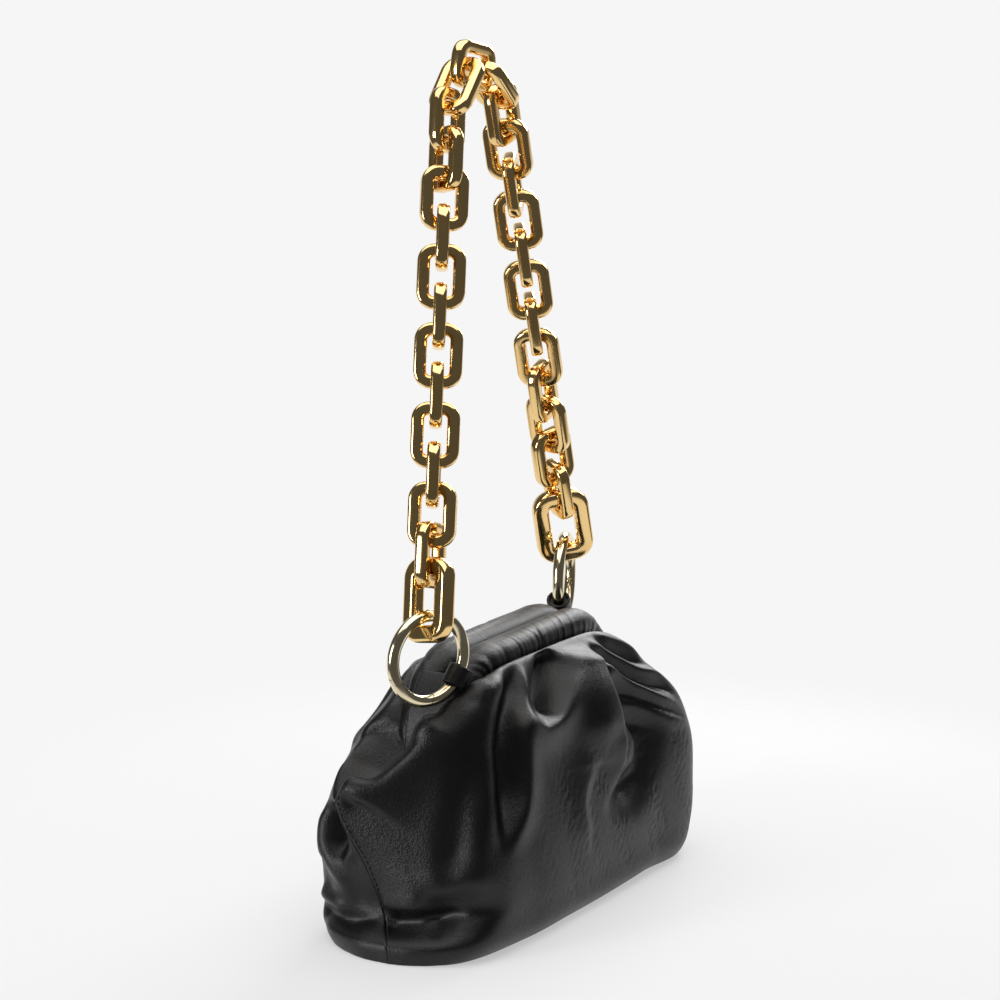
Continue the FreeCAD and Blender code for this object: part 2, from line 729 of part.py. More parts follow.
chainNodes = []
contacts = {"left": [tabPoint["left"]], "right": [tabPoint["right"]]}
for side, tip, turns in (("left", leftTop, leftTurns), ("right", rightTop, rightTurns)):
    way = (tip - foot[side]).normalize()
    for reach in contactReach:
        contacts[side].append(foot[side] + way * reach)
    for index, turn in enumerate(turns + [size["top_turn"]]):
        middle = foot[side] + way * (reaches[index] + spans[index] / 2)
        name = "end_link_" + side if index == 0 else "link_%s_%02d" % (side, index)
        piece = link(name, "end" if index == 0 else "link")
        piece.Placement = linkPlace(middle, way, direction(turn))
        chainNodes.append(piece)

rising = link("link_top_left", "link")
rising.Placement = linkPlace(leftTop + risingWay * (linkSpan / 2), risingWay, sideways)
top = link("link_top_middle", "link")
topStart = leftTop + risingWay * linkSpan - topWay * topHook
top.Placement = linkPlace(topStart + topWay * (linkSpan / 2), topWay, sideways.cross(topWay))
falling = link("link_top_right", "link")
falling.Placement = linkPlace(rightTop - fallingWay * (linkSpan / 2), fallingWay, sideways)
chainNodes += [rising, top, falling]
topContacts = [topStart + topWay * (topHook / 2), topStart + topWay * (linkSpan - topHook / 2)]

document.recompute()
nodes = [frontPanel, backPanel, liningBag, baseBoard] + half["front"] + half["back"]
nodes += hingeNodes + ringNodes + tabNodes + chainNodes
for each in document.Objects:
    if "Invalid" in each.State or "Error" in each.State:
        raise RuntimeError("%s did not build" % each.Label)
os.makedirs("parts", exist_ok=True)
for node in nodes:
    if node.Shape.isNull() or not node.Shape.isValid():
        raise RuntimeError("%s has no valid shape" % node.Label)
for node in nodes:
    node.Shape.exportStep("parts/%s.step" % node.Label)
print("%d parts written" % len(nodes))
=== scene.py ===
import json
import math

import bpy
import numpy as np
from mathutils import Matrix, Vector

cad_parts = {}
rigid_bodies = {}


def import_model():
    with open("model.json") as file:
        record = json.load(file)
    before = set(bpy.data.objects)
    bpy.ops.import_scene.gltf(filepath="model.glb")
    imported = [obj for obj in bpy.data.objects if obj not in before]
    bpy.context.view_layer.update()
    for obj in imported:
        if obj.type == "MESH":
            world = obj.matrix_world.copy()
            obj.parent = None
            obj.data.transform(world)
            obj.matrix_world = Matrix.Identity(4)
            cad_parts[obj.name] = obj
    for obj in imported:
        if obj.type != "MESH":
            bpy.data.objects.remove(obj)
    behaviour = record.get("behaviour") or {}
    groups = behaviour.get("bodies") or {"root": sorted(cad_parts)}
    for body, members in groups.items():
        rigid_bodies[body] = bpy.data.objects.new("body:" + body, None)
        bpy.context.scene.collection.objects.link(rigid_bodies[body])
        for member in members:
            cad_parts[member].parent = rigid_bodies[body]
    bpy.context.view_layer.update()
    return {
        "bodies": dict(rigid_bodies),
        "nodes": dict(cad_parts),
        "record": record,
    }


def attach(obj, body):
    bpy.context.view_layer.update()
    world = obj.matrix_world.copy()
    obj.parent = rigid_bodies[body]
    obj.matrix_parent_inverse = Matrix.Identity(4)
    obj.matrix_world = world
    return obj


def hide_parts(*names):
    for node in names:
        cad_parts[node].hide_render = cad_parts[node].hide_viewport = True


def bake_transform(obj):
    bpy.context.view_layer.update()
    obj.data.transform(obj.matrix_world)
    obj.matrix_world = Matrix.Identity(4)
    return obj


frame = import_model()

nodes = frame["nodes"]
mm = 0.001  # sizes below are in millimetres, Blender's are in metres


# small helpers for shapes

def unit(vectors):
    return vectors / np.maximum(np.linalg.norm(vectors, axis=-1, keepdims=True), 1e-9)


def smoothStep(values, low, high):
    t = np.clip((values - low) / (high - low), 0, 1)
    return t * t * (3 - 2 * t)


def chordKnots(net):
    gaps = np.linalg.norm(np.diff(net, axis=0), axis=-1)
    if gaps.ndim > 1:
        gaps = gaps.mean(axis=1)
    return np.concatenate([[0.0], np.cumsum(gaps)])


def throughPoints(net, count, knots=None):
    # a smooth curve, or a row of curves, through the net's points along its first axis
    net = np.asarray(net, float)
    knots = chordKnots(net) if knots is None else knots
    slopes = np.gradient(net, knots, axis=0)
    places = np.linspace(0, knots[-1], count)
    first = np.clip(np.searchsorted(knots, places, side="right") - 1, 0, len(knots) - 2)
    span = knots[first + 1] - knots[first]
    shape = (count,) + (1,) * (net.ndim - 1)
    t = ((places - knots[first]) / span).reshape(shape)
    span = span.reshape(shape)
    start, end = net[first], net[first + 1]
    rise, fall = slopes[first] * span, slopes[first + 1] * span
    return ((2 * t**3 - 3 * t**2 + 1) * start + (t**3 - 2 * t**2 + t) * rise
            + (3 * t**2 - 2 * t**3) * end + (t**3 - t**2) * fall)


def gridNormals(grid, flip):
    normals = unit(np.cross(np.gradient(grid, axis=1), np.gradient(grid, axis=0)))
    return -normals if flip else normals


def gridFaces(rows, columns, start=0, flip=False, closed=False):
    last = columns if closed else columns - 1
    r, c = np.meshgrid(np.arange(rows - 1), np.arange(last), indexing="ij")
    nextColumn = (c + 1) % columns
    corners = [r * columns + c, r * columns + nextColumn,
               (r + 1) * columns + nextColumn, (r + 1) * columns + c]
    quads = np.stack(corners, axis=-1).reshape(-1, 4) + start
    return quads[:, ::-1] if flip else quads


def rimFaces(rows, columns, flip):
    # joins the edges of an outer grid to those of the inner grid that follows it
    edge = ([(0, c) for c in range(columns)] + [(r, columns - 1) for r in range(1, rows)]
            + [(rows - 1, c) for c in range(columns - 2, -1, -1)]
            + [(r, 0) for r in range(rows - 2, 0, -1)])
    index = np.array([r * columns + c for r, c in edge])
    after = np.roll(index, -1)
    inner = rows * columns
    quads = np.stack([index, index + inner, after + inner, after], axis=-1)
    return quads[:, ::-1] if flip else quads


def addPiece(name, points, faces, material):
    mesh = bpy.data.meshes.new(name)
    mesh.from_pydata((np.asarray(points) * mm).tolist(), [], [list(map(int, f)) for f in faces])
    mesh.validate()
    mesh.shade_smooth()
    mesh.materials.append(material)
    piece = bpy.data.objects.new(name, mesh)
    bpy.context.scene.collection.objects.link(piece)
    return piece


def addShell(name, grid, thickness, flip, material):
    # a sheet of that thickness, laid inwards from the grid and nowhere below it
    rows, columns = grid.shape[:2]
    inner = grid - gridNormals(grid, flip) * thickness
    inner[:, :, 2] = np.maximum(inner[:, :, 2], grid[:, :, 2].min())
    points = np.concatenate([grid.reshape(-1, 3), inner.reshape(-1, 3)])
    faces = np.concatenate([gridFaces(rows, columns, 0, flip),
                            gridFaces(rows, columns, rows * columns, not flip),
                            rimFaces(rows, columns, flip)])
    return addPiece(name, points, faces, material)


# shader groups

def newGroup(name, inputs):
    group = bpy.data.node_groups.new(name, "ShaderNodeTree")
    for label, kind, value in inputs:
        socket = group.interface.new_socket(name=label, in_out="INPUT", socket_type="NodeSocket" + kind)
        socket.default_value = value
    for label, kind in (("Color", "Color"), ("Roughness", "Float"), ("Height", "Float")):
        group.interface.new_socket(name=label, in_out="OUTPUT", socket_type="NodeSocket" + kind)
    return group, group.nodes.new("NodeGroupInput"), group.nodes.new("NodeGroupOutput")


def endGroup(group, leave, shade, rough, height):
    for label, value in (("Color", shade), ("Roughness", rough), ("Height", height)):
        group.links.new(value, leave.inputs[label])
    return group


def addNode(tree, kind, links=(), **settings):
    node = tree.nodes.new(kind)
    for key, value in settings.items():
        if key in node.bl_rna.properties:
            setattr(node, key, value)
    for socket, value in links:
        target = node.inputs[socket]
        if isinstance(value, bpy.types.NodeSocket):
            tree.links.new(value, target)
        else:
            target.default_value = value
    return node


def mathNode(tree, operation, first, second=0.0):
    return addNode(tree, "ShaderNodeMath", [(0, first), (1, second)], operation=operation).outputs[0]


def noiseNode(tree, vector, scale, detail=3.0, rough=0.55):
    links = [("Vector", vector), ("Scale", scale), ("Detail", detail), ("Roughness", rough)]
    return addNode(tree, "ShaderNodeTexNoise", links).outputs["Fac"]


def rangeNode(tree, value, low, high, toLow, toHigh):
    links = [("Value", value), ("From Min", low), ("From Max", high), ("To Min", toLow), ("To Max", toHigh)]
    return addNode(tree, "ShaderNodeMapRange", links).outputs["Result"]


def mixColour(tree, factor, first, second):
    # a mix node's colours are its inputs 6 and 7 and its output 2
    links = [(0, factor), (6, first), (7, second)]
    return addNode(tree, "ShaderNodeMix", links, data_type="RGBA").outputs[2]


def grainGroup():
    # pebble grain, fine creases and a slow change of polish
    group, enter, leave = newGroup("hideGrain", [
        ("Vector", "Vector", (0, 0, 0)), ("Dark", "Color", (0, 0, 0, 1)), ("Worn", "Color", (0, 0, 0, 1)),
        ("Pebble Size", "Float", 900.0), ("Crease Size", "Float", 150.0),
        ("Polish", "Float", 0.36), ("Dull", "Float", 0.5)])
    vector = enter.outputs["Vector"]
    pebble = addNode(group, "ShaderNodeTexVoronoi", [
        ("Vector", vector), ("Scale", enter.outputs["Pebble Size"])], feature="F1").outputs["Distance"]
    crease = noiseNode(group, vector, enter.outputs["Crease Size"], 5.0, 0.62)
    slow = noiseNode(group, vector, 28.0, 3.0, 0.5)
    ridge = mathNode(group, "ABSOLUTE", mathNode(group, "SUBTRACT", crease, 0.5))
    lines = rangeNode(group, ridge, 0.0, 0.09, 0.0, 1.0)
    height = mathNode(group, "ADD", mathNode(group, "MULTIPLY", pebble, -0.35),
                      mathNode(group, "MULTIPLY", lines, 0.5))
    worn = rangeNode(group, slow, 0.35, 0.7, 0.0, 1.0)
    uneven = mathNode(group, "ADD", mathNode(group, "MULTIPLY", slow, 0.7),
                      mathNode(group, "MULTIPLY", lines, 0.3))
    rough = rangeNode(group, uneven, 0.3, 0.8, enter.outputs["Polish"], enter.outputs["Dull"])
    shade = mixColour(group, worn, enter.outputs["Dark"], enter.outputs["Worn"])
    return endGroup(group, leave, shade, rough, height)


def toneGroup():
    # a slow change of tone, a finer change of polish and faint marks
    group, enter, leave = newGroup("toneAndMarks", [
        ("Vector", "Vector", (0, 0, 0)), ("First", "Color", (0, 0, 0, 1)),
        ("Second", "Color", (0, 0, 0, 1)), ("Tone Size", "Float", 60.0), ("Mark Size", "Float", 700.0),
        ("Polish", "Float", 0.1), ("Dull", "Float", 0.2)])
    vector = enter.outputs["Vector"]
    tone = noiseNode(group, vector, enter.outputs["Tone Size"], 2.0)
    marks = noiseNode(group, vector, enter.outputs["Mark Size"], 4.0, 0.6)
    blend = rangeNode(group, tone, 0.35, 0.65, 0.0, 1.0)
    uneven = mathNode(group, "MULTIPLY", mathNode(group, "ADD", tone, marks), 0.5)
    rough = rangeNode(group, uneven, 0.35, 0.65, enter.outputs["Polish"], enter.outputs["Dull"])
    shade = mixColour(group, blend, enter.outputs["First"], enter.outputs["Second"])
    return endGroup(group, leave, shade, rough, marks)


def twillGroup():
    # slanted ribs of a woven cloth
    group, enter, leave = newGroup("twillWeave", [
        ("Vector", "Vector", (0, 0, 0)), ("Thread", "Color", (0, 0, 0, 1)),
        ("Between", "Color", (0, 0, 0, 1)), ("Rib Size", "Float", 1400.0)])
    wave = addNode(group, "ShaderNodeTexWave", [
        ("Vector", enter.outputs["Vector"]), ("Scale", enter.outputs["Rib Size"]),
        ("Distortion", 1.2), ("Detail", 2.0), ("Detail Scale", 2.0)],
        bands_direction="DIAGONAL").outputs["Fac"]
    fuzz = noiseNode(group, enter.outputs["Vector"], 2600.0, 2.0)
    height = mathNode(group, "ADD", wave, mathNode(group, "MULTIPLY", fuzz, 0.4))
    shade = mixColour(group, wave, enter.outputs["Between"], enter.outputs["Thread"])
    rough = rangeNode(group, fuzz, 0.3, 0.7, 0.7, 0.9)
    return endGroup(group, leave, shade, rough, height)


grain, tone, twill = grainGroup(), toneGroup(), twillGroup()


def newMaterial(name, group, values, metallic=0.0, bump=0.2, bumpDepth=0.0004, **sockets):
    material = bpy.data.materials.new(name)
    material.use_nodes = True
    tree = material.node_tree
    shader = tree.nodes["Principled BSDF"]
    coordinates = tree.nodes.new("ShaderNodeTexCoord")
    effect = addNode(tree, "ShaderNodeGroup", node_tree=group)
    tree.links.new(coordinates.outputs["Object"], effect.inputs["Vector"])
    for label, value in values.items():
        effect.inputs[label].default_value = value
    tree.links.new(effect.outputs["Color"], shader.inputs["Base Color"])
    tree.links.new(effect.outputs["Roughness"], shader.inputs["Roughness"])
    relief = addNode(tree, "ShaderNodeBump", [
        ("Height", effect.outputs["Height"]), ("Strength", bump), ("Distance", bumpDepth)])
    tree.links.new(relief.outputs["Normal"], shader.inputs["Normal"])
    shader.inputs["Metallic"].default_value = metallic
    for label, value in sockets.items():
        shader.inputs[label].default_value = value
    return material


def colour(red, green, blue):
    return (red, green, blue, 1.0)


blackLeather = newMaterial("blackLeather", grain, {
    "Dark": colour(0.003, 0.003, 0.003), "Worn": colour(0.005, 0.0049, 0.0049),
    "Pebble Size": 800.0, "Crease Size": 420.0, "Polish": 0.3, "Dull": 0.44},
    bump=0.3, **{"Specular IOR Level": 0.37})
yellowGold = newMaterial("yellowGold", tone, {
    "First": colour(0.90, 0.63, 0.28), "Second": colour(0.84, 0.57, 0.23),
    "Tone Size": 45.0, "Mark Size": 900.0, "Polish": 0.08, "Dull": 0.17},
    metallic=1.0, bump=0.04, bumpDepth=0.0002)
paleGold = newMaterial("paleGold", tone, {
    "First": colour(0.85, 0.75, 0.52), "Second": colour(0.80, 0.69, 0.46),
    "Tone Size": 60.0, "Mark Size": 900.0, "Polish": 0.08, "Dull": 0.16},
    metallic=1.0, bump=0.04, bumpDepth=0.0002)
steel = newMaterial("plainSteel", tone, {
    "First": colour(0.56, 0.56, 0.57), "Second": colour(0.46, 0.46, 0.47),
    "Tone Size": 80.0, "Mark Size": 1200.0, "Polish": 0.28, "Dull": 0.42}, metallic=1.0, bump=0.1)
board = newMaterial("greyBoard", tone, {
    "First": colour(0.35, 0.28, 0.19), "Second": colour(0.28, 0.22, 0.15),
    "Tone Size": 120.0, "Mark Size": 1500.0, "Polish": 0.8, "Dull": 0.95}, bump=0.3)
blackPlastic = newMaterial("blackPlastic", tone, {
    "First": colour(0.03, 0.03, 0.03), "Second": colour(0.024, 0.024, 0.025),
    "Tone Size": 90.0, "Mark Size": 1800.0, "Polish": 0.45, "Dull": 0.6}, bump=0.15)
twillCloth = newMaterial("twillLining", twill, {
    "Thread": colour(0.026, 0.026, 0.028), "Between": colour(0.012, 0.012, 0.013),
    "Rib Size": 1300.0}, bump=0.5)
thread = newMaterial("blackThread", twill, {
    "Thread": colour(0.03, 0.03, 0.03), "Between": colour(0.008, 0.008, 0.008),
    "Rib Size": 2600.0}, bump=0.5)
print("materials made")


# leather pouch: two halves that meet at the side seams and the bottom seam.
# Each row runs from the near seam to the far seam, and the rows run from the floor up to the roll.

pouch = {
    "columns": 250, "rows": 178, "thickness": 1.3, "relaxing": 4, "lowest": 0.3,
    "tuckedIn": (0.9, 0.965),  # share of the rows over which the folds end, under the roll
    "bendStart": 88.0, "bendEnd": 116.0,  # heights between which the leather meets the frame's half
    "front": [
        [(-121, -4, 1), (-116, -3, .3), (-108, -1, .3), (-90, -1, .3), (-60, 0, .3), (-20, 0, .3),
         (20, 0, .3), (60, 0, .3), (90, 0, .3), (104, 0, .3), (112, 0, 1)],
        [(-126.5, -6, 3), (-124, -16, 2), (-117, -28, 1), (-106, -37, .6), (-62, -45, .4), (-20, -46.5, .4),
         (20, -47, .4), (60, -46, .4), (103, -44, .6), (114, -27, 1), (117, -4, 3)],
        [(-126, -5, 9), (-123.5, -18, 8.5), (-117.5, -32, 8), (-107, -43, 7.5), (-62, -51, 7),
         (-20, -52.5, 7), (20, -53, 7), (60, -52.5, 7), (104, -48, 7.5), (117, -30, 8), (120, -4, 9)],
        [(-113, 4, 17.5), (-114, -12, 17.5), (-112, -29, 17.5), (-104, -44, 18), (-62, -52.5, 20),
         (-20, -54, 20), (20, -54, 20), (60, -53.5, 20), (108, -49, 20), (119, -30, 18), (119, -4, 17)],
        [(-116, 12, 42), (-114, -8, 42), (-109, -28, 42), (-100, -43, 42), (-62, -51.5, 43), (-20, -53, 44),
         (20, -53.5, 44), (60, -53.5, 44), (110, -49, 42), (120, -31, 42), (121, -8, 42)],
        [(-116, 29, 75), (-110.5, 8, 76), (-103.5, -14, 77), (-93, -32, 78), (-60, -45, 77), (-20, -48, 76),
         (20, -49.5, 75), (60, -50, 74), (108, -47.5, 70), (118, -30, 69), (118, -12, 69)],
        [(-99, 14, 82), (-101, 5.5, 95), (-97, -12, 100), (-88, -27, 101), (-60, -39, 102), (-20, -42, 102),
         (20, -43, 101), (60, -43.5, 98), (101, -41, 91), (110, -26, 87), (109, -10, 82)],
        [(-88, 4, 90), (-91, -8.5, 108), (-84, -19.5, 115), (-75, -26, 117.5), (-56, -31.5, 118),
         (-20, -33, 117), (18, -33.5, 116), (56, -33.5, 113), (89, -31, 104), (97, -20, 96), (96, -6, 88)],
        [(-81, 0, 92), (-81, -7, 103), (-76, -16.5, 120), (-62, -22, 128.5), (-46, -23, 132),
         (-18, -23, 132), (16, -23, 131.5), (48, -22.5, 129), (71, -20, 118), (80, -13, 105), (84, 0, 92)],
        [(-79, -2, 91), (-76, -6, 100), (-69, -13, 112), (-57, -18, 121), (-44, -18, 125),
         (-18, -18, 125.5), (16, -18, 125.5), (44, -18, 124), (62, -16, 116), (73, -8, 102), (79, -2, 91)],
    ],
    "back": [
        [(-121, -4, 1), (-116, -3, .3), (-108, -1, .3), (-90, -1, .3), (-60, 0, .3), (-20, 0, .3),
         (20, 0, .3), (60, 0, .3), (90, 0, .3), (104, 0, .3), (112, 0, 1)],
        [(-126.5, -6, 3), (-125.5, 12, 2), (-117, 30, 1), (-104, 40, .6), (-62, 45, .4), (-20, 46.5, .4),
         (20, 47, .4), (60, 46, .4), (101, 43, .6), (113, 25, 1), (117, -4, 3)],
        [(-126, -5, 9), (-125.5, 14, 8.5), (-118, 33, 8), (-106, 44, 7.5), (-62, 51, 7), (-20, 52.5, 7),
         (20, 53, 7), (60, 52, 7), (103, 47, 7.5), (116, 26, 8), (120, -4, 9)],
        [(-113, 4, 17.5), (-114.5, 18, 17.5), (-112, 33, 18), (-103, 45, 18), (-62, 52.5, 20),
         (-20, 54, 20), (20, 54, 20), (60, 53, 20), (106, 48, 20), (118, 27, 18), (119, -4, 17)],
        [(-116, 12, 42), (-116, 26, 42), (-112, 40, 42), (-101, 48, 42), (-62, 52, 43), (-20, 53, 44),
         (20, 53, 44), (60, 53, 44), (107, 47, 42), (119, 26, 42), (121, -8, 42)],
        [(-116, 29, 75), (-114, 33, 74.5), (-108, 38, 74), (-97, 42, 75), (-60, 46, 77), (-20, 48, 76),
         (20, 48, 76), (60, 48, 75), (103, 42, 72), (116, 22, 70), (118, -12, 69)],
        [(-99, 14, 82), (-103, 31, 88.5), (-96, 33.5, 94), (-86, 36, 98), (-58, 39, 102), (-20, 42, 102),
         (20, 42, 102), (58, 40, 100), (96, 34, 94), (107, 18, 88), (109, -10, 82)],
        [(-88, 4, 90), (-89, 22, 99), (-84, 27, 105), (-74, 29, 111), (-54, 31.5, 115), (-20, 33, 116),
         (18, 33, 116), (54, 32, 113), (85, 26, 105), (95, 14, 97), (96, -6, 88)],
        [(-81, 0, 92), (-80, 9, 103), (-75, 16, 113), (-64, 20, 122), (-48, 22.5, 128), (-18, 22.5, 130),
         (16, 22.5, 130), (46, 22, 128), (70, 18, 118), (79, 13, 105), (84, 0, 92)],
        [(-79, 2, 91), (-76, 6, 100), (-70, 10, 109), (-60, 13, 117), (-44, 15, 122), (-18, 15.5, 123),
         (16, 15.5, 123), (44, 15, 122), (62, 13, 114), (73, 8, 102), (79, 2, 91)],
    ],
}
nets = {side: np.array(pouch[side], float) for side in ("front", "back")}
rowKnots = (chordKnots(nets["front"]) + chordKnots(nets["back"])) / 2


def leatherGrid(side, rows, columns):
    upright = throughPoints(nets[side], rows, rowKnots)
    return throughPoints(upright.transpose(1, 0, 2), columns).transpose(1, 0, 2)


# folds: what each is, how far it stands out or sinks in, its width to the left and to the right
# of its line, how round it is, and the line. A point of two numbers is (x, z) on the broad face,
# and one of three is (x, y, z). A fold marked round keeps its full depth to a rounded end, and the
# others die away.

folds = {
    "front": [
        ("near ridge", 8, 4, 15, 1.5, [
            (-117.5, 24, 66), (-116, 28, 77), (-108, 19, 92), (-101, 9.5, 101), (-91, -5, 111),
            (-83, -13.5, 115), (-76, -16.5, 120), (-62, -22, 128.5), (-46, -23, 132)]),
        ("gusset hollow", -13, 12, 4.5, 2, [
            (-107, 31, 92), (-99, 23, 101), (-91, 14, 108), (-84, 5, 113), (-76, -5, 118),
            (-67, -13, 123)]),
        ("dent under the ring", -3.2, 5.5, 5.5, 2, [
            (-95, -8, 116), (-88, -12, 120), (-80, -16, 123), (-71, -19, 126)]),
        ("small loop", -3.5, 4, 4, 1.7, [(-67, -21, 124), (-60, -22, 128), (-53, -23, 131)]),
        ("long ridge", 4.5, 9, 15, 1.8, [
            (-44, -23, 132), (-55, -26, 129), (-69, -27, 120), (-82, -31, 104), (-88, -35, 81),
            (-95, -39, 59), (-102, -41, 36)]),
        ("groove", -7, 6.5, 7, 1.9, [
            (-38, -24, 132), (-51, -30, 121), (-62, -34, 112), (-70, -37, 99), (-73, -41, 83),
            (-79, -44, 66), (-89, -46, 48)]),
        ("groove's right ridge", 5, 10, 5, 1.8, [
            (-53, -33, 116), (-58, -39, 105), (-60, -43, 92), (-64, -46, 77), (-72, -47, 62),
            (-84, -48, 46)]),
        ("pleat's rim", 5, 5, 9, 1.8, [
            (-33, -24, 132), (-36, -28, 126), (-42, -31, 121), (-48, -35, 114), (-49, -38, 107),
            (-43, -41, 101), (-32, -41, 100), (-19, -40, 104), (-6, -36, 112), (4, -31, 121),
            (8, -25, 131)]),
        ("pleat's hollow", -12, 6.2, 6.2, 2.1, [
            (-5, -22, 135), (-11, -28, 126), (-19, -32, 119), (-28, -36, 112)], "round"),
        ("bulge", 5, 14, 15, 2, [(18, -26, 129), (9, -38, 109), (6, -45, 93), (6, -49, 74)]),
        ("bulge's edge", 8, 3.2, 18, 1.4, [
            (30, -26, 129), (25, -33, 115), (21, -41, 104), (22, -46, 93), (24, -48, 83),
            (25, -50, 71), (20, -51, 56)]),
        ("shade beside the bulge", -9, 12, 7, 1.9, [
            (37, -36, 112), (45, -46, 93), (54, -50, 76), (48, -52, 62), (28, -53, 53),
            (2, -53, 48)]),
        ("ridge in the shade", 1.8, 6, 6, 2, [(56, -48, 82), (52, -51, 69), (40, -53, 56)]),
        ("standing fold", 2.6, 4, 12, 1.7, [
            (4, -49, 76), (-12, -50, 66), (-17, -52, 56), (-16, -53, 44), (-13, -54, 28)]),
        ("far fold, high", 3.6, 3.2, 3.6, 1.7, [
            (26, -25, 130), (40, -30, 121), (51, -33, 115), (66, -38, 106), (81, -41, 101),
            (97, -42, 90)]),
        ("far fold, middle", 4.2, 3.2, 4.4, 1.7, [
            (28, -29, 123), (39, -35, 112.5), (57, -42, 101), (75, -47, 90.5), (102, -48, 77)]),
        ("far fold, low", 2.6, 4, 5, 1.8, [
            (31, -43, 101), (57, -46, 91), (78, -50, 81), (105, -49, 68)]),
        ("far valley, top", -2.6, 2.8, 2.8, 1.8, [
            (40, -26, 128), (51, -30, 120.5), (66, -33, 112.5), (84, -38, 103)]),
        ("far valley, high", -3.6, 3, 3, 1.8, [
            (30, -28, 126), (51, -36, 110), (66, -41, 101), (81, -44, 94), (98, -45, 84)]),
        ("far valley, low", -3.6, 3, 3.4, 1.8, [
            (36, -36, 109), (57, -44, 96), (75, -48, 86.5), (100, -49, 73)]),
        ("far fold, top", 2.2, 3, 3, 1.7, [(44, -25, 129), (66, -28, 119), (86, -33, 106)]),
        ("soft valley", -3, 9, 9, 2, [
            (-82, -26, 110), (-93, -28, 89), (-99, -28, 70), (-107, -29, 49), (-111, -28, 30)]),
        ("soft ridge", 1.8, 7, 8, 2, [
            (-83, -24, 111), (-94, -24, 93), (-99, -23, 77), (-106, -23, 60), (-112, -22, 38)]),
        ("crease over the base", -4, 1.8, 7, 1.6, [
            (-113, 12, 17), (-113, 5, 17.5), (-113, -5, 18.5), (-112.5, -14, 20), (-111.5, -24, 22),
            (-109, -32, 24), (-105, -41, 24)]),
        ("swell over the crease", 3, 10, 4, 1.9, [
            (-115, 10, 25), (-115, 0, 25), (-114, -10, 26), (-112, -20, 28)]),
        ("corner dimple", -4.5, 9, 8, 2, [
            (-112, -14, 21), (-110, -29, 25), (-106, -38, 27), (-98, -47, 26), (-86, -50, 24)]),
        ("dimple's arch", 1.4, 9, 6, 2, [
            (-112, -12, 25), (-110.5, -25, 36), (-106, -35, 42), (-99, -43, 40), (-90, -48, 34)]),
    ],
    "back": [
        ("pocket in the end", -10, 5.5, 6, 1.9, [
            (-115, 35, 73), (-116.5, 31, 62), (-116.5, 28.5, 55), (-116, 28.5, 43)]),
        ("pocket's right lip", 2.4, 3, 3, 1.7, [
            (-115, 31, 75), (-117.5, 26.5, 68), (-118, 23.5, 60), (-117, 22.5, 50),
            (-116, 25, 38)]),
        ("pocket's left lip", 3, 4, 7, 1.7, [
            (-112, 38, 72), (-112, 40.5, 58), (-113, 39, 49), (-114.5, 33, 41), (-114, 26, 33),
            (-113, 23, 25), (-114, 18, 16)]),
        ("hollow in the end", -2.6, 7, 7, 2, [(-107, 45, 42), (-110, 40, 33), (-112, 33, 24)]),
        ("low lip", 3, 6, 3, 1.7, [(-100, 45, 22), (-108, 39, 21), (-112, 31, 20), (-115, 20, 18)]),
        ("crease over the base", -4, 1.8, 7, 1.6, [
            (-100, 45, 15), (-109, 38, 15), (-113, 31.5, 16), (-115.5, 21, 16), (-114, 10, 17),
            (-113, 2, 17.5)]),
        ("gusset's oval hollow", -3, 13, 13, 2, [
            (-84, 29, 106), (-91, 25, 98), (-96, 22, 92), (-106, 22, 82)]),
        ("left groove", -7, 9, 8, 1.9, [(40, 130), (52, 113), (66, 95), (72, 72), (70, 40)]),
        ("left ridge", 4, 8, 11, 1.8, [(54, 125), (68, 108), (82, 88), (88, 58)]),
        ("middle pleat", -9, 9, 8, 1.9, [(8, 131), (12, 118), (20, 106), (22, 86)]),
        ("pleat's left rim", 4, 8, 6, 1.8, [(22, 130), (28, 116), (38, 100), (38, 72)]),
        ("pleat's right rim", 4, 6, 10, 1.8, [(-6, 130), (-2, 114), (6, 98), (10, 66)]),
        ("long groove", -5, 8, 9, 1.9, [(-20, 130), (-24, 112), (-24, 90), (-12, 54)]),
        ("right bulge", 4.5, 12, 12, 1.9, [(-36, 128), (-42, 106), (-40, 78)]),
        ("near fold, low", 4, 5, 6, 1.7, [(-40, 118), (-64, 102), (-92, 86)]),
        ("near fold, high", 3, 4, 5, 1.7, [(-42, 129), (-64, 116), (-86, 102)]),
        ("near valley", -4, 4, 5, 1.8, [(-40, 123), (-62, 109), (-90, 94)]),
        ("low sag", -2.6, 14, 14, 2, [(56, 44), (0, 34), (-52, 46)]),
    ],
}
pressing = {
    "ends": (0.18, 0.34),  # shares of a line over which a fold rises and widens, and later dies away
    "steps": 9,  # places on a line for each of its points
    "reach": 2.6,  # a fold is left off this many widths from its line
    "broadFace": 0.45,  # the least that a normal of the broad face points along y
}


def onLeather(flat, normals, line):
    broad = np.where(np.abs(normals[:, 1]) > pressing["broadFace"])[0]
    picks = []
    for point in line:
        if len(point) == 3:
            picks.append(np.argmin(((flat - point) ** 2).sum(axis=1)))
        else:
            away = (flat[broad, 0] - point[0]) ** 2 + (flat[broad, 2] - point[1]) ** 2
            picks.append(broad[np.argmin(away)])
    return flat[picks]


def relax(grid):
    # moves each point halfway to the mean of its neighbours, but not the edges, and keeps it off the floor
    grid = grid.copy()
    for _ in range(pouch["relaxing"]):
        middle = grid[1:-1, 1:-1]
        around = grid[2:, 1:-1] + grid[:-2, 1:-1] + grid[1:-1, 2:] + grid[1:-1, :-2]
        grid[1:-1, 1:-1] = (middle + around / 4) / 2
    grid[:, :, 2] = np.maximum(grid[:, :, 2], pouch["lowest"])
    return grid


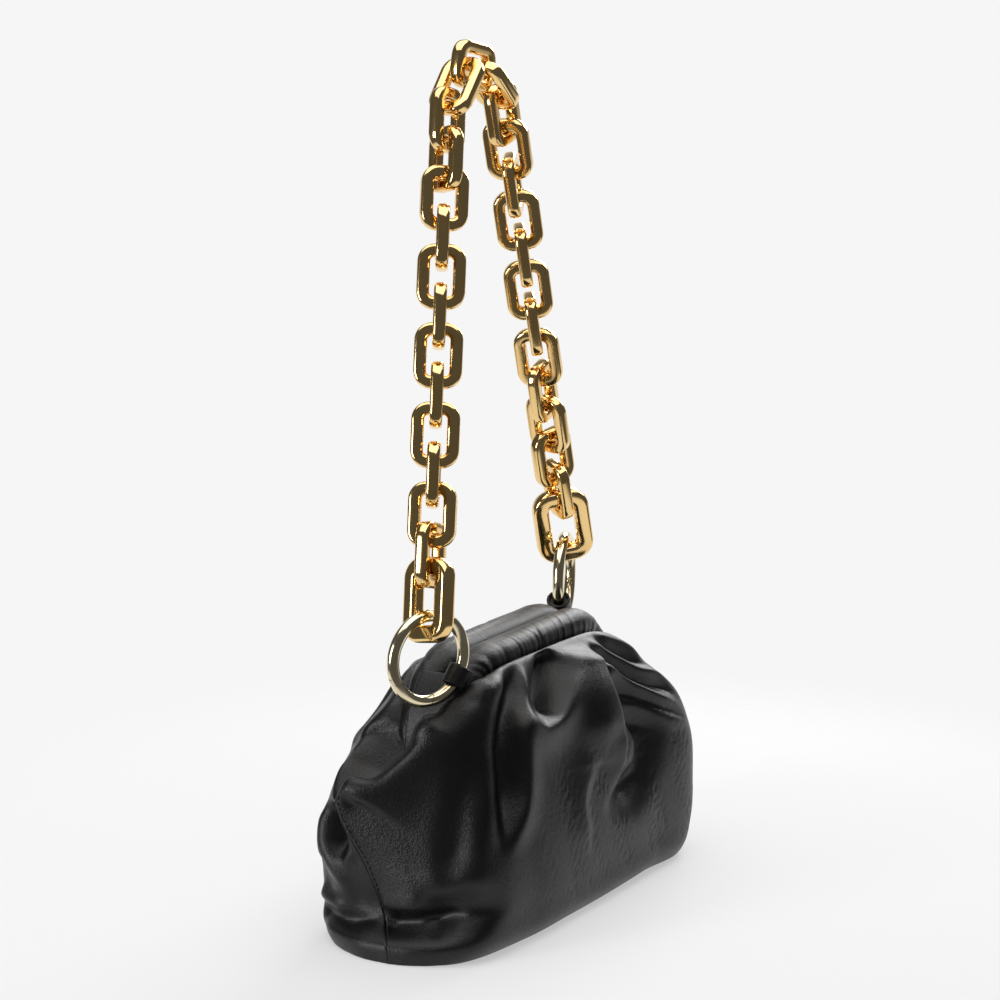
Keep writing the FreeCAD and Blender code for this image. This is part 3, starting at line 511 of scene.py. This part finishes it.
def pressFolds(grid, flip, side):
    flat = grid.reshape(-1, 3)
    normals = gridNormals(grid, flip).reshape(-1, 3)
    offset = np.zeros(len(flat))
    rise, fall = pressing["ends"]
    for _, depth, leftWidth, rightWidth, roundness, points, *cap in folds[side]:
        line = throughPoints(onLeather(flat, normals, points), pressing["steps"] * len(points))
        reach = pressing["reach"] * max(leftWidth, rightWidth)
        close = np.all((flat > line.min(0) - reach) & (flat < line.max(0) + reach), axis=1)
        near = flat[close]
        nearest = np.full(len(near), 1e9)
        where = np.zeros(len(near))
        across = np.zeros(len(near))
        for step in range(len(line) - 1):
            run = line[step + 1] - line[step]
            share = np.clip((near - line[step]) @ run / (run @ run + 1e-9), 0, 1)
            away = near - line[step] - share[:, None] * run
            distance = np.linalg.norm(away, axis=1)
            closer = distance < nearest
            nearest[closer] = distance[closer]
            where[closer] = (step + share[closer]) / (len(line) - 1)
            across[closer] = np.einsum("ij,ij->i", away, np.cross(normals[close], run))[closer]
        ends = smoothStep(where, 0, rise) * (1 if cap else smoothStep(1 - where, 0, fall))
        width = np.where(across > 0, leftWidth, rightWidth) * (0.5 + 0.5 * ends)
        offset[close] += depth * np.exp(-((nearest / width) ** roundness)) * ends
    under = smoothStep(np.linspace(0, 1, len(grid)), *pouch["tuckedIn"])
    offset = offset.reshape(grid.shape[:2]) * (1 - under)[:, None]
    return grid + gridNormals(grid, flip) * offset[:, :, None]


wrinkle = {
    "seed": 5, "waves": 9, "depth": 0.34, "line": 0.3,
    "shortest": 5.5, "longest": 11.0, "lean": (0.2, 1.45), "slant": 6, "patchSize": 5,
    # ranges over which the creases fade in or out: patches, heights, length and share from a seam
    "patch": (-3, 2), "low": (5.0, 18.0), "high": (62.0, 104.0), "along": (-85.0, -10.0), "seam": 0.06,
}


def fineWrinkles(grid, flip):
    # thin creases that lean across the lower leather, and fade towards the near end, the seams and the top
    draw = np.random.default_rng(wrinkle["seed"] + flip)
    x, z = grid[:, :, 0], grid[:, :, 2]
    wave = np.zeros(x.shape)
    patch = np.zeros(x.shape)
    for _ in range(wrinkle["waves"]):
        lean = draw.uniform(*wrinkle["lean"]) + math.pi / 2
        length = draw.uniform(wrinkle["shortest"], wrinkle["longest"])
        along = x * math.cos(lean) + z * math.sin(lean)
        across = z * math.cos(lean) - x * math.sin(lean)
        turns = along / length + across / (wrinkle["slant"] * length)
        wave += np.sin(math.tau * turns + draw.uniform(0, math.tau))
        turns = (along + across) / (wrinkle["patchSize"] * length)
        patch += np.sin(math.tau * turns + draw.uniform(0, math.tau))
    wave /= math.sqrt(wrinkle["waves"] / 2)
    share = np.linspace(0, 1, grid.shape[1])
    weight = smoothStep(np.minimum(share, 1 - share), 0, wrinkle["seam"])[None, :]
    weight = weight * smoothStep(patch, *wrinkle["patch"]) * smoothStep(x, *wrinkle["along"])
    weight = weight * smoothStep(z, *wrinkle["low"]) * (1 - smoothStep(z, *wrinkle["high"]))
    crease = wrinkle["depth"] * weight * np.exp(-((wave / wrinkle["line"]) ** 2))
    return grid - gridNormals(grid, flip) * crease[:, :, None]


def bendWithFrame(piece):
    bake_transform(piece)


leatherGrids = {}
for side, flip in (("front", False), ("back", True)):
    leatherGrids[side] = pressFolds(leatherGrid(side, pouch["rows"], pouch["columns"]), flip, side)
for edge in (np.s_[:, 0], np.s_[:, -1], np.s_[0, :]):  # the halves share their seams
    shared = (leatherGrids["front"][edge] + leatherGrids["back"][edge]) / 2
    for grid in leatherGrids.values():
        grid[edge] = shared
for side, flip in (("front", False), ("back", True)):
    leatherGrids[side] = fineWrinkles(relax(leatherGrids[side]), flip)
    half = addShell(side + "Leather", leatherGrids[side], pouch["thickness"], flip, blackLeather)
    bendWithFrame(half)
    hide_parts(side + "_panel")
print("leather halves made")


# lining: a cloth bag inside the leather, in two halves as well

lining = {"step": 3, "inset": 2.2, "thickness": 0.5}
for side, flip in (("front", False), ("back", True)):
    grid = leatherGrids[side] - gridNormals(leatherGrids[side], flip) * lining["inset"]
    grid = grid[::lining["step"], ::lining["step"]].copy()
    grid[:, :, 2] = np.maximum(grid[:, :, 2], pouch["lowest"] + lining["inset"])
    cloth = addShell(side + "Lining", grid, lining["thickness"], flip, twillCloth)
    bendWithFrame(cloth)
    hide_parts("lining")
print("lining made")


# padded rolls along the mouth

roll = {
    "corner": 36.0, "cornerMiddle": 40.0, "legEnd": 95.0, "tuck": 5.0,
    "radius": 9.5, "offset": 9.7, "along": 420, "around": 64,
    "gathers": 64, "gatherDepth": 0.6, "endDepth": 1.6, "endReach": 50.0,
    "lean": 4, "endLean": 16, "endWidth": 1.2, "seeds": {"front": 11, "back": 12},
    # ranges of the random draws for a gather: shift, width, shares of the depths, deepest angle
    "shift": (0.2, 0.8), "width": (1.2, 2.6), "share": (0.4, 1.2), "endShare": (0.4, 1),
    "deepest": (1.9, 2.5),
}


def rollLine(count):
    # from the near leg, over the bar, to the far leg: points and outward directions
    quarter = roll["corner"] * math.pi / 2
    bar = 2 * roll["cornerMiddle"]
    places = np.linspace(-roll["tuck"], 2 * quarter + bar + roll["tuck"], count)
    total = 2 * quarter + bar
    angle = np.where(places < quarter, math.pi - np.clip(places, 0, quarter) / roll["corner"],
                     math.pi / 2 - np.clip(places - quarter - bar, 0, quarter) / roll["corner"])
    outward = np.stack([np.cos(angle), np.zeros(count), np.sin(angle)], axis=1)
    middle = np.clip(places - quarter, 0, bar) - roll["cornerMiddle"]
    centre = np.stack([middle, np.zeros(count), np.full(count, roll["legEnd"])], axis=1)
    centre = centre + outward * roll["corner"]
    centre[:, 2] += np.minimum(places, 0) + np.minimum(total - places, 0)
    return places, centre, outward


def rollGrid(side):
    random = np.random.default_rng(roll["seeds"][side])
    sign = -1 if side == "front" else 1
    places, centre, outward = rollLine(roll["along"])
    length = places[-1] - places[0]
    turn = np.linspace(0, 2 * math.pi, roll["around"], endpoint=False)
    radius = np.full((roll["along"], roll["around"]), roll["radius"])
    for number in range(roll["gathers"]):
        place = places[0] + length * (number + random.uniform(*roll["shift"])) / roll["gathers"]
        fromEnd = min(place - places[0], places[-1] - place)
        endShare = 1 - min(fromEnd / roll["endReach"], 1)
        lean = roll["lean"] + roll["endLean"] * endShare
        lean *= 1 if place < places[0] + length / 2 else -1
        width = random.uniform(*roll["width"]) + roll["endWidth"] * endShare
        depth = roll["gatherDepth"] * random.uniform(*roll["share"])
        depth += roll["endDepth"] * endShare * random.uniform(*roll["endShare"])
        low = (1 + np.cos(turn - random.uniform(*roll["deepest"]))) / 2
        bent = places[:, None] - place - lean * np.sin(turn)[None, :]
        radius -= depth * np.exp(-((bent / width) ** 2)) * low[None, :]
    outer = np.cos(turn)[None, :, None] * outward[:, None, :]
    sideways = np.sin(turn)[None, :, None] * np.array([0.0, sign, 0.0])
    grid = centre[:, None, :] + radius[:, :, None] * (outer + sideways)
    grid[:, :, 1] += sign * roll["offset"]
    return grid


for side in ("front", "back"):
    grid = rollGrid(side)
    rows, columns = grid.shape[:2]
    caps = np.stack([grid[0].mean(axis=0), grid[-1].mean(axis=0)])
    points = np.concatenate([grid.reshape(-1, 3), caps])
    flip = side == "front"
    faces = [list(f) for f in gridFaces(rows, columns, 0, flip, closed=True)]
    for c in range(columns):
        after = (c + 1) % columns
        first = [rows * columns, after, c]
        last = [rows * columns + 1, (rows - 1) * columns + c, (rows - 1) * columns + after]
        faces += [first[::-1], last[::-1]] if flip else [first, last]
    cover = addPiece(side + "Roll", points, faces, blackLeather)
    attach(cover, "frame_%s_half" % side)
    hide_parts("frame_roll_" + side, "roll_padding_" + side)
print("padded rolls made")


# ring tabs: the solids' own form with softened edges

tab = {"weld": 0.01, "voxel": 0.55, "smoothing": 6}


def softCopy(name, node, material):
    mesh = nodes[node].data.copy()
    mesh.name = name
    piece = bpy.data.objects.new(name, mesh)
    bpy.context.scene.collection.objects.link(piece)
    weld = piece.modifiers.new("weld", "WELD")
    weld.merge_threshold = tab["weld"] * mm
    remesh = piece.modifiers.new("remesh", "REMESH")
    remesh.mode = "VOXEL"
    remesh.voxel_size = tab["voxel"] * mm
    soften = piece.modifiers.new("soften", "SMOOTH")
    soften.iterations = tab["smoothing"]
    done = bpy.data.meshes.new_from_object(piece.evaluated_get(bpy.context.evaluated_depsgraph_get()))
    piece.modifiers.clear()
    piece.data = done
    done.name = name
    done.materials.clear()
    done.materials.append(material)
    done.shade_smooth()
    return piece


for side in ("left", "right"):
    strap = softCopy("ringTab" + side.capitalize(), "ring_tab_" + side, blackLeather)
    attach(strap, "pouch")
    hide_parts("ring_tab_" + side)
print("ring tabs made")


# hinge stiffeners: shorter blocks that stay inside the leather's inward fold

stiffener = {"start": 87.6, "length": 6.0, "halfWidth": 5.5, "bottom": 79.0, "height": 11.0,
             "round": 1.2, "roundSteps": 3}


def addStiffener(name, sign):
    low = Vector((stiffener["start"], -stiffener["halfWidth"], stiffener["bottom"]))
    span = Vector((stiffener["length"], 2 * stiffener["halfWidth"], stiffener["height"]))
    corners = [Vector((x, y, z)) for x in (0, 1) for y in (0, 1) for z in (0, 1)]
    points = np.array([low + corner * span for corner in corners]) * np.array([sign, 1, 1])
    faces = [(0, 1, 3, 2), (4, 6, 7, 5), (0, 4, 5, 1), (2, 3, 7, 6), (0, 2, 6, 4), (1, 5, 7, 3)]
    piece = addPiece(name, points, faces if sign > 0 else [f[::-1] for f in faces], blackPlastic)
    rounding = piece.modifiers.new("rounding", "BEVEL")
    rounding.width = stiffener["round"] * mm
    rounding.segments = stiffener["roundSteps"]
    return piece


for side, sign in (("left", -1), ("right", 1)):
    block = addStiffener("hingeStiffener" + side.capitalize(), sign)
    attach(block, "pouch")
    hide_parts("hinge_block_" + side)
print("hinge stiffeners made")


# chain: one node tree makes a link, and a point with a turn places each

chain = {
    "link": {"Length": 25.8, "Width": 17.4, "Corner": 5.4, "Wire": 6.2, "Facet": 1.7},
    "end": {"Length": 32.6, "Width": 21.6, "Corner": 6.3, "Wire": 8.4, "Facet": 2.3},
    "cornerSteps": 9, "facetSteps": 3,
}


def newGeometryTree(name, inputs):
    tree = bpy.data.node_groups.new(name, "GeometryNodeTree")
    tree.interface.new_socket(name="Geometry", in_out="INPUT", socket_type="NodeSocketGeometry")
    for label, kind in inputs:
        tree.interface.new_socket(name=label, in_out="INPUT", socket_type="NodeSocket" + kind)
    tree.interface.new_socket(name="Geometry", in_out="OUTPUT", socket_type="NodeSocketGeometry")
    return tree, tree.nodes.new("NodeGroupInput").outputs, tree.nodes.new("NodeGroupOutput").inputs


def filletedBox(tree, width, height, radius, steps):
    outline = addNode(tree, "GeometryNodeCurvePrimitiveQuadrilateral", [
        ("Width", width), ("Height", height)])
    fillet = addNode(tree, "GeometryNodeFilletCurve", [
        ("Curve", outline.outputs["Curve"]), ("Radius", radius), ("Count", steps)], mode="POLY")
    return fillet.outputs["Curve"]


def placeOnPoints(tree, enter, leave, links):
    # sets the shape on each point by the point's turn, and gives it the material
    turn = addNode(tree, "GeometryNodeInputNamedAttribute", [("Name", "turn")],
                   data_type="FLOAT_VECTOR")
    rotation = addNode(tree, "FunctionNodeEulerToRotation", [("Euler", turn.outputs["Attribute"])])
    placed = addNode(tree, "GeometryNodeInstanceOnPoints", [
        ("Points", enter["Geometry"]), ("Rotation", rotation.outputs["Rotation"]), *links])
    real = addNode(tree, "GeometryNodeRealizeInstances", [("Geometry", placed.outputs["Instances"])])
    shaded = addNode(tree, "GeometryNodeSetShadeSmooth", [("Geometry", real.outputs["Geometry"])])
    dressed = addNode(tree, "GeometryNodeSetMaterial", [
        ("Geometry", shaded.outputs["Geometry"]), ("Material", enter["Material"])])
    tree.links.new(dressed.outputs["Geometry"], leave["Geometry"])
    return tree


def linkTree():
    sizes = [(label, "Float") for label in ("Length", "Width", "Corner", "Wire", "Facet")]
    tree, enter, leave = newGeometryTree("chainLink", sizes + [("Material", "Material")])
    path = filletedBox(tree, enter["Length"], enter["Width"], enter["Corner"], chain["cornerSteps"])
    profile = filletedBox(tree, enter["Wire"], enter["Wire"], enter["Facet"], chain["facetSteps"])
    upright = addNode(tree, "GeometryNodeSetCurveNormal", [("Curve", path)], mode="Z_UP")
    link = addNode(tree, "GeometryNodeCurveToMesh", [
        ("Curve", upright.outputs["Curve"]), ("Profile Curve", profile)])
    return placeOnPoints(tree, enter, leave, [("Instance", link.outputs["Mesh"])])


def runTree(name, tree, points, turns, values):
    # points carrying a turn go in, and a plain mesh comes out
    mesh = bpy.data.meshes.new(name)
    mesh.from_pydata([tuple(p) for p in points], [], [])
    stored = mesh.attributes.new("turn", "FLOAT_VECTOR", "POINT")
    stored.data.foreach_set("vector", np.array(turns, np.float32).ravel())
    piece = bpy.data.objects.new(name, mesh)
    bpy.context.scene.collection.objects.link(piece)
    modifier = piece.modifiers.new("tree", "NODES")
    modifier.node_group = tree
    sockets = {s.name: s.identifier for s in tree.interface.items_tree if s.in_out == "INPUT"}
    for label, value in values.items():
        modifier[sockets[label]] = value
    piece.update_tag()
    bpy.context.view_layer.update()
    made = bpy.data.meshes.new_from_object(piece.evaluated_get(bpy.context.evaluated_depsgraph_get()))
    piece.modifiers.clear()
    piece.data = made
    made.name = name
    return piece


def linkPlace(node):
    # a link's middle and turn, from its solid: longest way along x, next along y
    points = np.array([v.co for v in nodes[node].data.vertices], float)
    middle = points.mean(axis=0)
    axes = np.linalg.svd(points - middle, full_matrices=False)[2]
    if np.linalg.det(axes) < 0:
        axes[2] = -axes[2]
    local = (points - middle) @ axes.T
    middle = middle + ((local.min(axis=0) + local.max(axis=0)) / 2) @ axes
    return middle, Matrix(axes.T.tolist()).to_euler()


chainTree = linkTree()
linkRows = [body for body in frame["bodies"] if "link" in body]
for body in linkRows:
    members = frame["record"]["behaviour"]["bodies"][body]
    places = [linkPlace(node) for node in members]
    sizes = chain["end" if body == "end_link_pair" else "link"]
    values = {label: value * mm for label, value in sizes.items()}
    words = body.split("_")
    name = words[0] + "".join(w.capitalize() for w in words[1:])
    links = runTree(name, chainTree, [p for p, t in places], [tuple(t) for p, t in places],
                    {**values, "Material": yellowGold})
    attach(links, body)
    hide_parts(*members)
print("chain made:", len(linkRows), "rows")


# stitches along the side seams, on the front half

stitch = {"Length": 2.2, "Radius": 0.42, "pitch": 2.9, "fromSeam": 1.6, "low": 20.0, "high": 80.0,
          "proud": 0.2, "rowShare": 0.62, "columns": 8, "segments": 8, "rings": 6}


def stitchTree():
    tree, enter, leave = newGeometryTree("seamStitch", [
        ("Length", "Float"), ("Radius", "Float"), ("Material", "Material")])
    # a ball of diameter 1, stretched to the stitch's size
    ball = addNode(tree, "GeometryNodeMeshUVSphere", [
        ("Segments", stitch["segments"]), ("Rings", stitch["rings"]), ("Radius", 0.5)])
    girth = mathNode(tree, "MULTIPLY", enter["Radius"], 2.0)
    size = addNode(tree, "ShaderNodeCombineXYZ", [("X", enter["Length"]), ("Y", girth), ("Z", girth)])
    return placeOnPoints(tree, enter, leave, [
        ("Instance", ball.outputs["Mesh"]), ("Scale", size.outputs["Vector"])])


def seamPlaces(end):
    # points beside the seam at an even pitch, each with the turn that lays a stitch along it
    grid = leatherGrids["front"] if end == "near" else leatherGrids["front"][:, ::-1]
    normals = gridNormals(grid, end == "far")
    across = np.linalg.norm(grid[:, 1:stitch["columns"]] - grid[:, :1], axis=2)
    column = 1 + np.argmin(np.abs(across - stitch["fromSeam"]), axis=1)
    rows = np.arange(len(grid))
    line, outward = grid[rows, column], normals[rows, column]
    keep = (line[:, 2] > stitch["low"]) & (line[:, 2] < stitch["high"])
    keep &= rows < len(grid) * stitch["rowShare"]
    line, outward = line[keep], outward[keep]
    along = chordKnots(line)
    marks = np.arange(stitch["pitch"], along[-1], stitch["pitch"])
    slopes = np.gradient(line, along, axis=0)
    places, ways, ups = [np.stack([np.interp(marks, along, values[:, k]) for k in range(3)], axis=1)
                         for values in (line, slopes, outward)]
    ways = unit(ways)
    turns = []
    for way, up in zip(ways, ups):
        side = unit(np.cross(up, way))
        axes = np.stack([way, side, np.cross(way, side)], axis=1)
        turns.append(tuple(Matrix(axes.tolist()).to_euler()))
    return (places + unit(ups) * stitch["proud"]) * mm, turns


sewing = stitchTree()
for end in ("near", "far"):
    places, turns = seamPlaces(end)
    row = runTree(end + "Stitches", sewing, places, turns,
                  {"Length": stitch["Length"] * mm, "Radius": stitch["Radius"] * mm, "Material": thread})
    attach(row, "pouch")
    print(end, "seam sewn:", len(turns), "stitches")


# solids that keep their shape get their finish

finishes = {
    "ring_left": paleGold, "ring_right": paleGold, "gate_left": paleGold, "gate_right": paleGold,
    "gate_pin_left": paleGold, "gate_pin_right": paleGold,
    "frame_front": steel, "frame_back": steel, "magnets_front": steel, "magnets_back": steel,
    "hinge_pin_left": steel, "hinge_pin_right": steel, "base_board": board,
}
for node, material in finishes.items():
    mesh = nodes[node].data
    mesh.materials.clear()
    mesh.materials.append(material)
print("finishes given")


# stage: pale floor, soft lights and the camera

stage = {
    "pale": 0.92, "floorColour": 0.36, "floorGlow": 0.47, "floorRough": 0.9,
    "floorRadius": 0.6, "floorSides": 96, "fadeStart": 0.3, "fadeEnd": 0.48,
    "edgeStart": 0.18, "edgeEnd": 0.24,  # the floor ends just below the picture: the leather mirrors less
    "worldLight": 0.14, "studioDark": 0.09, "farFloor": 0.95,
    "behind": (-0.92, -0.6), "farSide": (-0.55, -0.2),  # how much a mirrored ray points to the camera
    "below": (-0.04, -0.14),  # a mirrored ray's slope
}
shot = {"azimuth": -60.0, "elevation": 11.5, "distance": 1.6, "lens": 115.2, "sensor": 36.0,
        "target": (-0.00225, 0.0039, 0.204)}
lamps = [  # name, place, aim, width, height, watts
    ("topSoftbox", (0, 0, 1.4), (0, 0, 0), 1.8, 1.8, 21.0),
    ("leftSoftbox", (-1.2, 0.6, 0.35), (0, 0, 0.1), 0.4, 0.7, 9.0),
    ("rightSoftbox", (1.25, 0.05, 0.8), (0, 0, 0.12), 1.0, 0.5, 15.0),
]


def towardsCamera(elevation):
    # the way from the part to the camera, at that height in degrees
    azimuth, elevation = math.radians(shot["azimuth"]), math.radians(elevation)
    return (math.sin(azimuth) * math.cos(elevation), -math.cos(azimuth) * math.cos(elevation),
            math.sin(elevation))


def aimAt(thing, aim):
    thing.rotation_euler = (Vector(aim) - thing.location).to_track_quat("-Z", "Y").to_euler()


def addLamp(name, place, aim, width, height, watts):
    light = bpy.data.lights.new(name, "AREA")
    light.shape = "RECTANGLE"
    light.size, light.size_y, light.energy = width, height, watts
    lamp = bpy.data.objects.new(name, light)
    bpy.context.scene.collection.objects.link(lamp)
    lamp.location = place
    aimAt(lamp, aim)


def addFloor():
    material = bpy.data.materials.new("paleFloor")
    material.use_nodes = True
    tree = material.node_tree
    shader = tree.nodes["Principled BSDF"]
    shader.inputs["Base Color"].default_value = colour(*[stage["floorColour"]] * 3)
    shader.inputs["Emission Color"].default_value = colour(1, 1, 1)
    shader.inputs["Emission Strength"].default_value = stage["floorGlow"]  # keeps the shadow faint
    shader.inputs["Roughness"].default_value = stage["floorRough"]
    shader.inputs["Specular IOR Level"].default_value = 0.0
    place = tree.nodes.new("ShaderNodeTexCoord").outputs["Object"]
    distance = addNode(tree, "ShaderNodeVectorMath", [(0, place)], operation="LENGTH").outputs["Value"]
    fade = addNode(tree, "ShaderNodeMapRange", [
        ("Value", distance), ("From Min", stage["fadeStart"]), ("From Max", stage["fadeEnd"])],
        interpolation_type="SMOOTHSTEP").outputs["Result"]
    ahead = addNode(tree, "ShaderNodeVectorMath", [(0, place), (1, towardsCamera(0.0))],
                    operation="DOT_PRODUCT").outputs["Value"]
    edge = rangeNode(tree, ahead, stage["edgeStart"], stage["edgeEnd"], 0.0, 1.0)
    clear = tree.nodes.new("ShaderNodeBsdfTransparent")
    mix = addNode(tree, "ShaderNodeMixShader", [
        (0, mathNode(tree, "MAXIMUM", fade, edge)), (1, shader.outputs[0]), (2, clear.outputs[0])])
    tree.links.new(mix.outputs[0], tree.nodes["Material Output"].inputs["Surface"])
    sides = stage["floorSides"]
    turn = np.linspace(0, 2 * math.pi, sides, endpoint=False)
    radius = stage["floorRadius"] / mm
    ring = np.stack([radius * np.cos(turn), radius * np.sin(turn), np.zeros(sides)], axis=1)
    floor = addPiece("floor", ring, [list(range(sides))], material)


def addWorld():
    world = bpy.data.worlds.new("studio")
    bpy.context.scene.world = world
    world.use_nodes = True
    tree = world.node_tree
    rays = tree.nodes.new("ShaderNodeLightPath").outputs
    way = tree.nodes.new("ShaderNodeTexCoord").outputs["Generated"]
    facing = addNode(tree, "ShaderNodeVectorMath", [(0, way), (1, towardsCamera(shot["elevation"]))],
                     operation="DOT_PRODUCT").outputs["Value"]
    behind = rangeNode(tree, facing, *stage["behind"], stage["pale"], stage["studioDark"])
    height = addNode(tree, "ShaderNodeSeparateXYZ", [("Vector", way)]).outputs["Z"]
    below = mathNode(tree, "MULTIPLY", rangeNode(tree, height, *stage["below"], 0.0, 1.0),
                     rangeNode(tree, facing, *stage["farSide"], stage["farFloor"], 0.0))
    level = mathNode(tree, "MAXIMUM", behind, below)
    studio = addNode(tree, "ShaderNodeCombineColor", [
        ("Red", level), ("Green", level), ("Blue", level)]).outputs["Color"]
    light = tree.nodes["Background"]
    light.inputs["Strength"].default_value = stage["worldLight"]
    light.inputs["Color"].default_value = colour(1, 1, 1)
    seen = addNode(tree, "ShaderNodeBackground", [("Color", colour(*[stage["pale"]] * 3))])
    mirrored = addNode(tree, "ShaderNodeBackground", [("Color", studio)])
    shiny = mathNode(tree, "MAXIMUM", rays["Is Glossy Ray"], rays["Is Transmission Ray"])
    first = addNode(tree, "ShaderNodeMixShader", [
        (0, shiny), (1, light.outputs[0]), (2, mirrored.outputs[0])])
    second = addNode(tree, "ShaderNodeMixShader", [
        (0, rays["Is Camera Ray"]), (1, first.outputs[0]), (2, seen.outputs[0])])
    tree.links.new(second.outputs[0], tree.nodes["World Output"].inputs["Surface"])


def addCamera():
    camera = bpy.data.objects.new("camera", bpy.data.cameras.new("camera"))
    bpy.context.scene.collection.objects.link(camera)
    camera.data.lens = shot["lens"]
    camera.data.sensor_width = shot["sensor"]
    away = Vector(towardsCamera(shot["elevation"]))
    camera.location = Vector(shot["target"]) + away * shot["distance"]
    aimAt(camera, shot["target"])
    bpy.context.scene.camera = camera


for lamp in lamps:
    addLamp(*lamp)
addFloor()
addWorld()
addCamera()
bpy.context.scene.view_settings.view_transform = "Standard"
print("stage made")
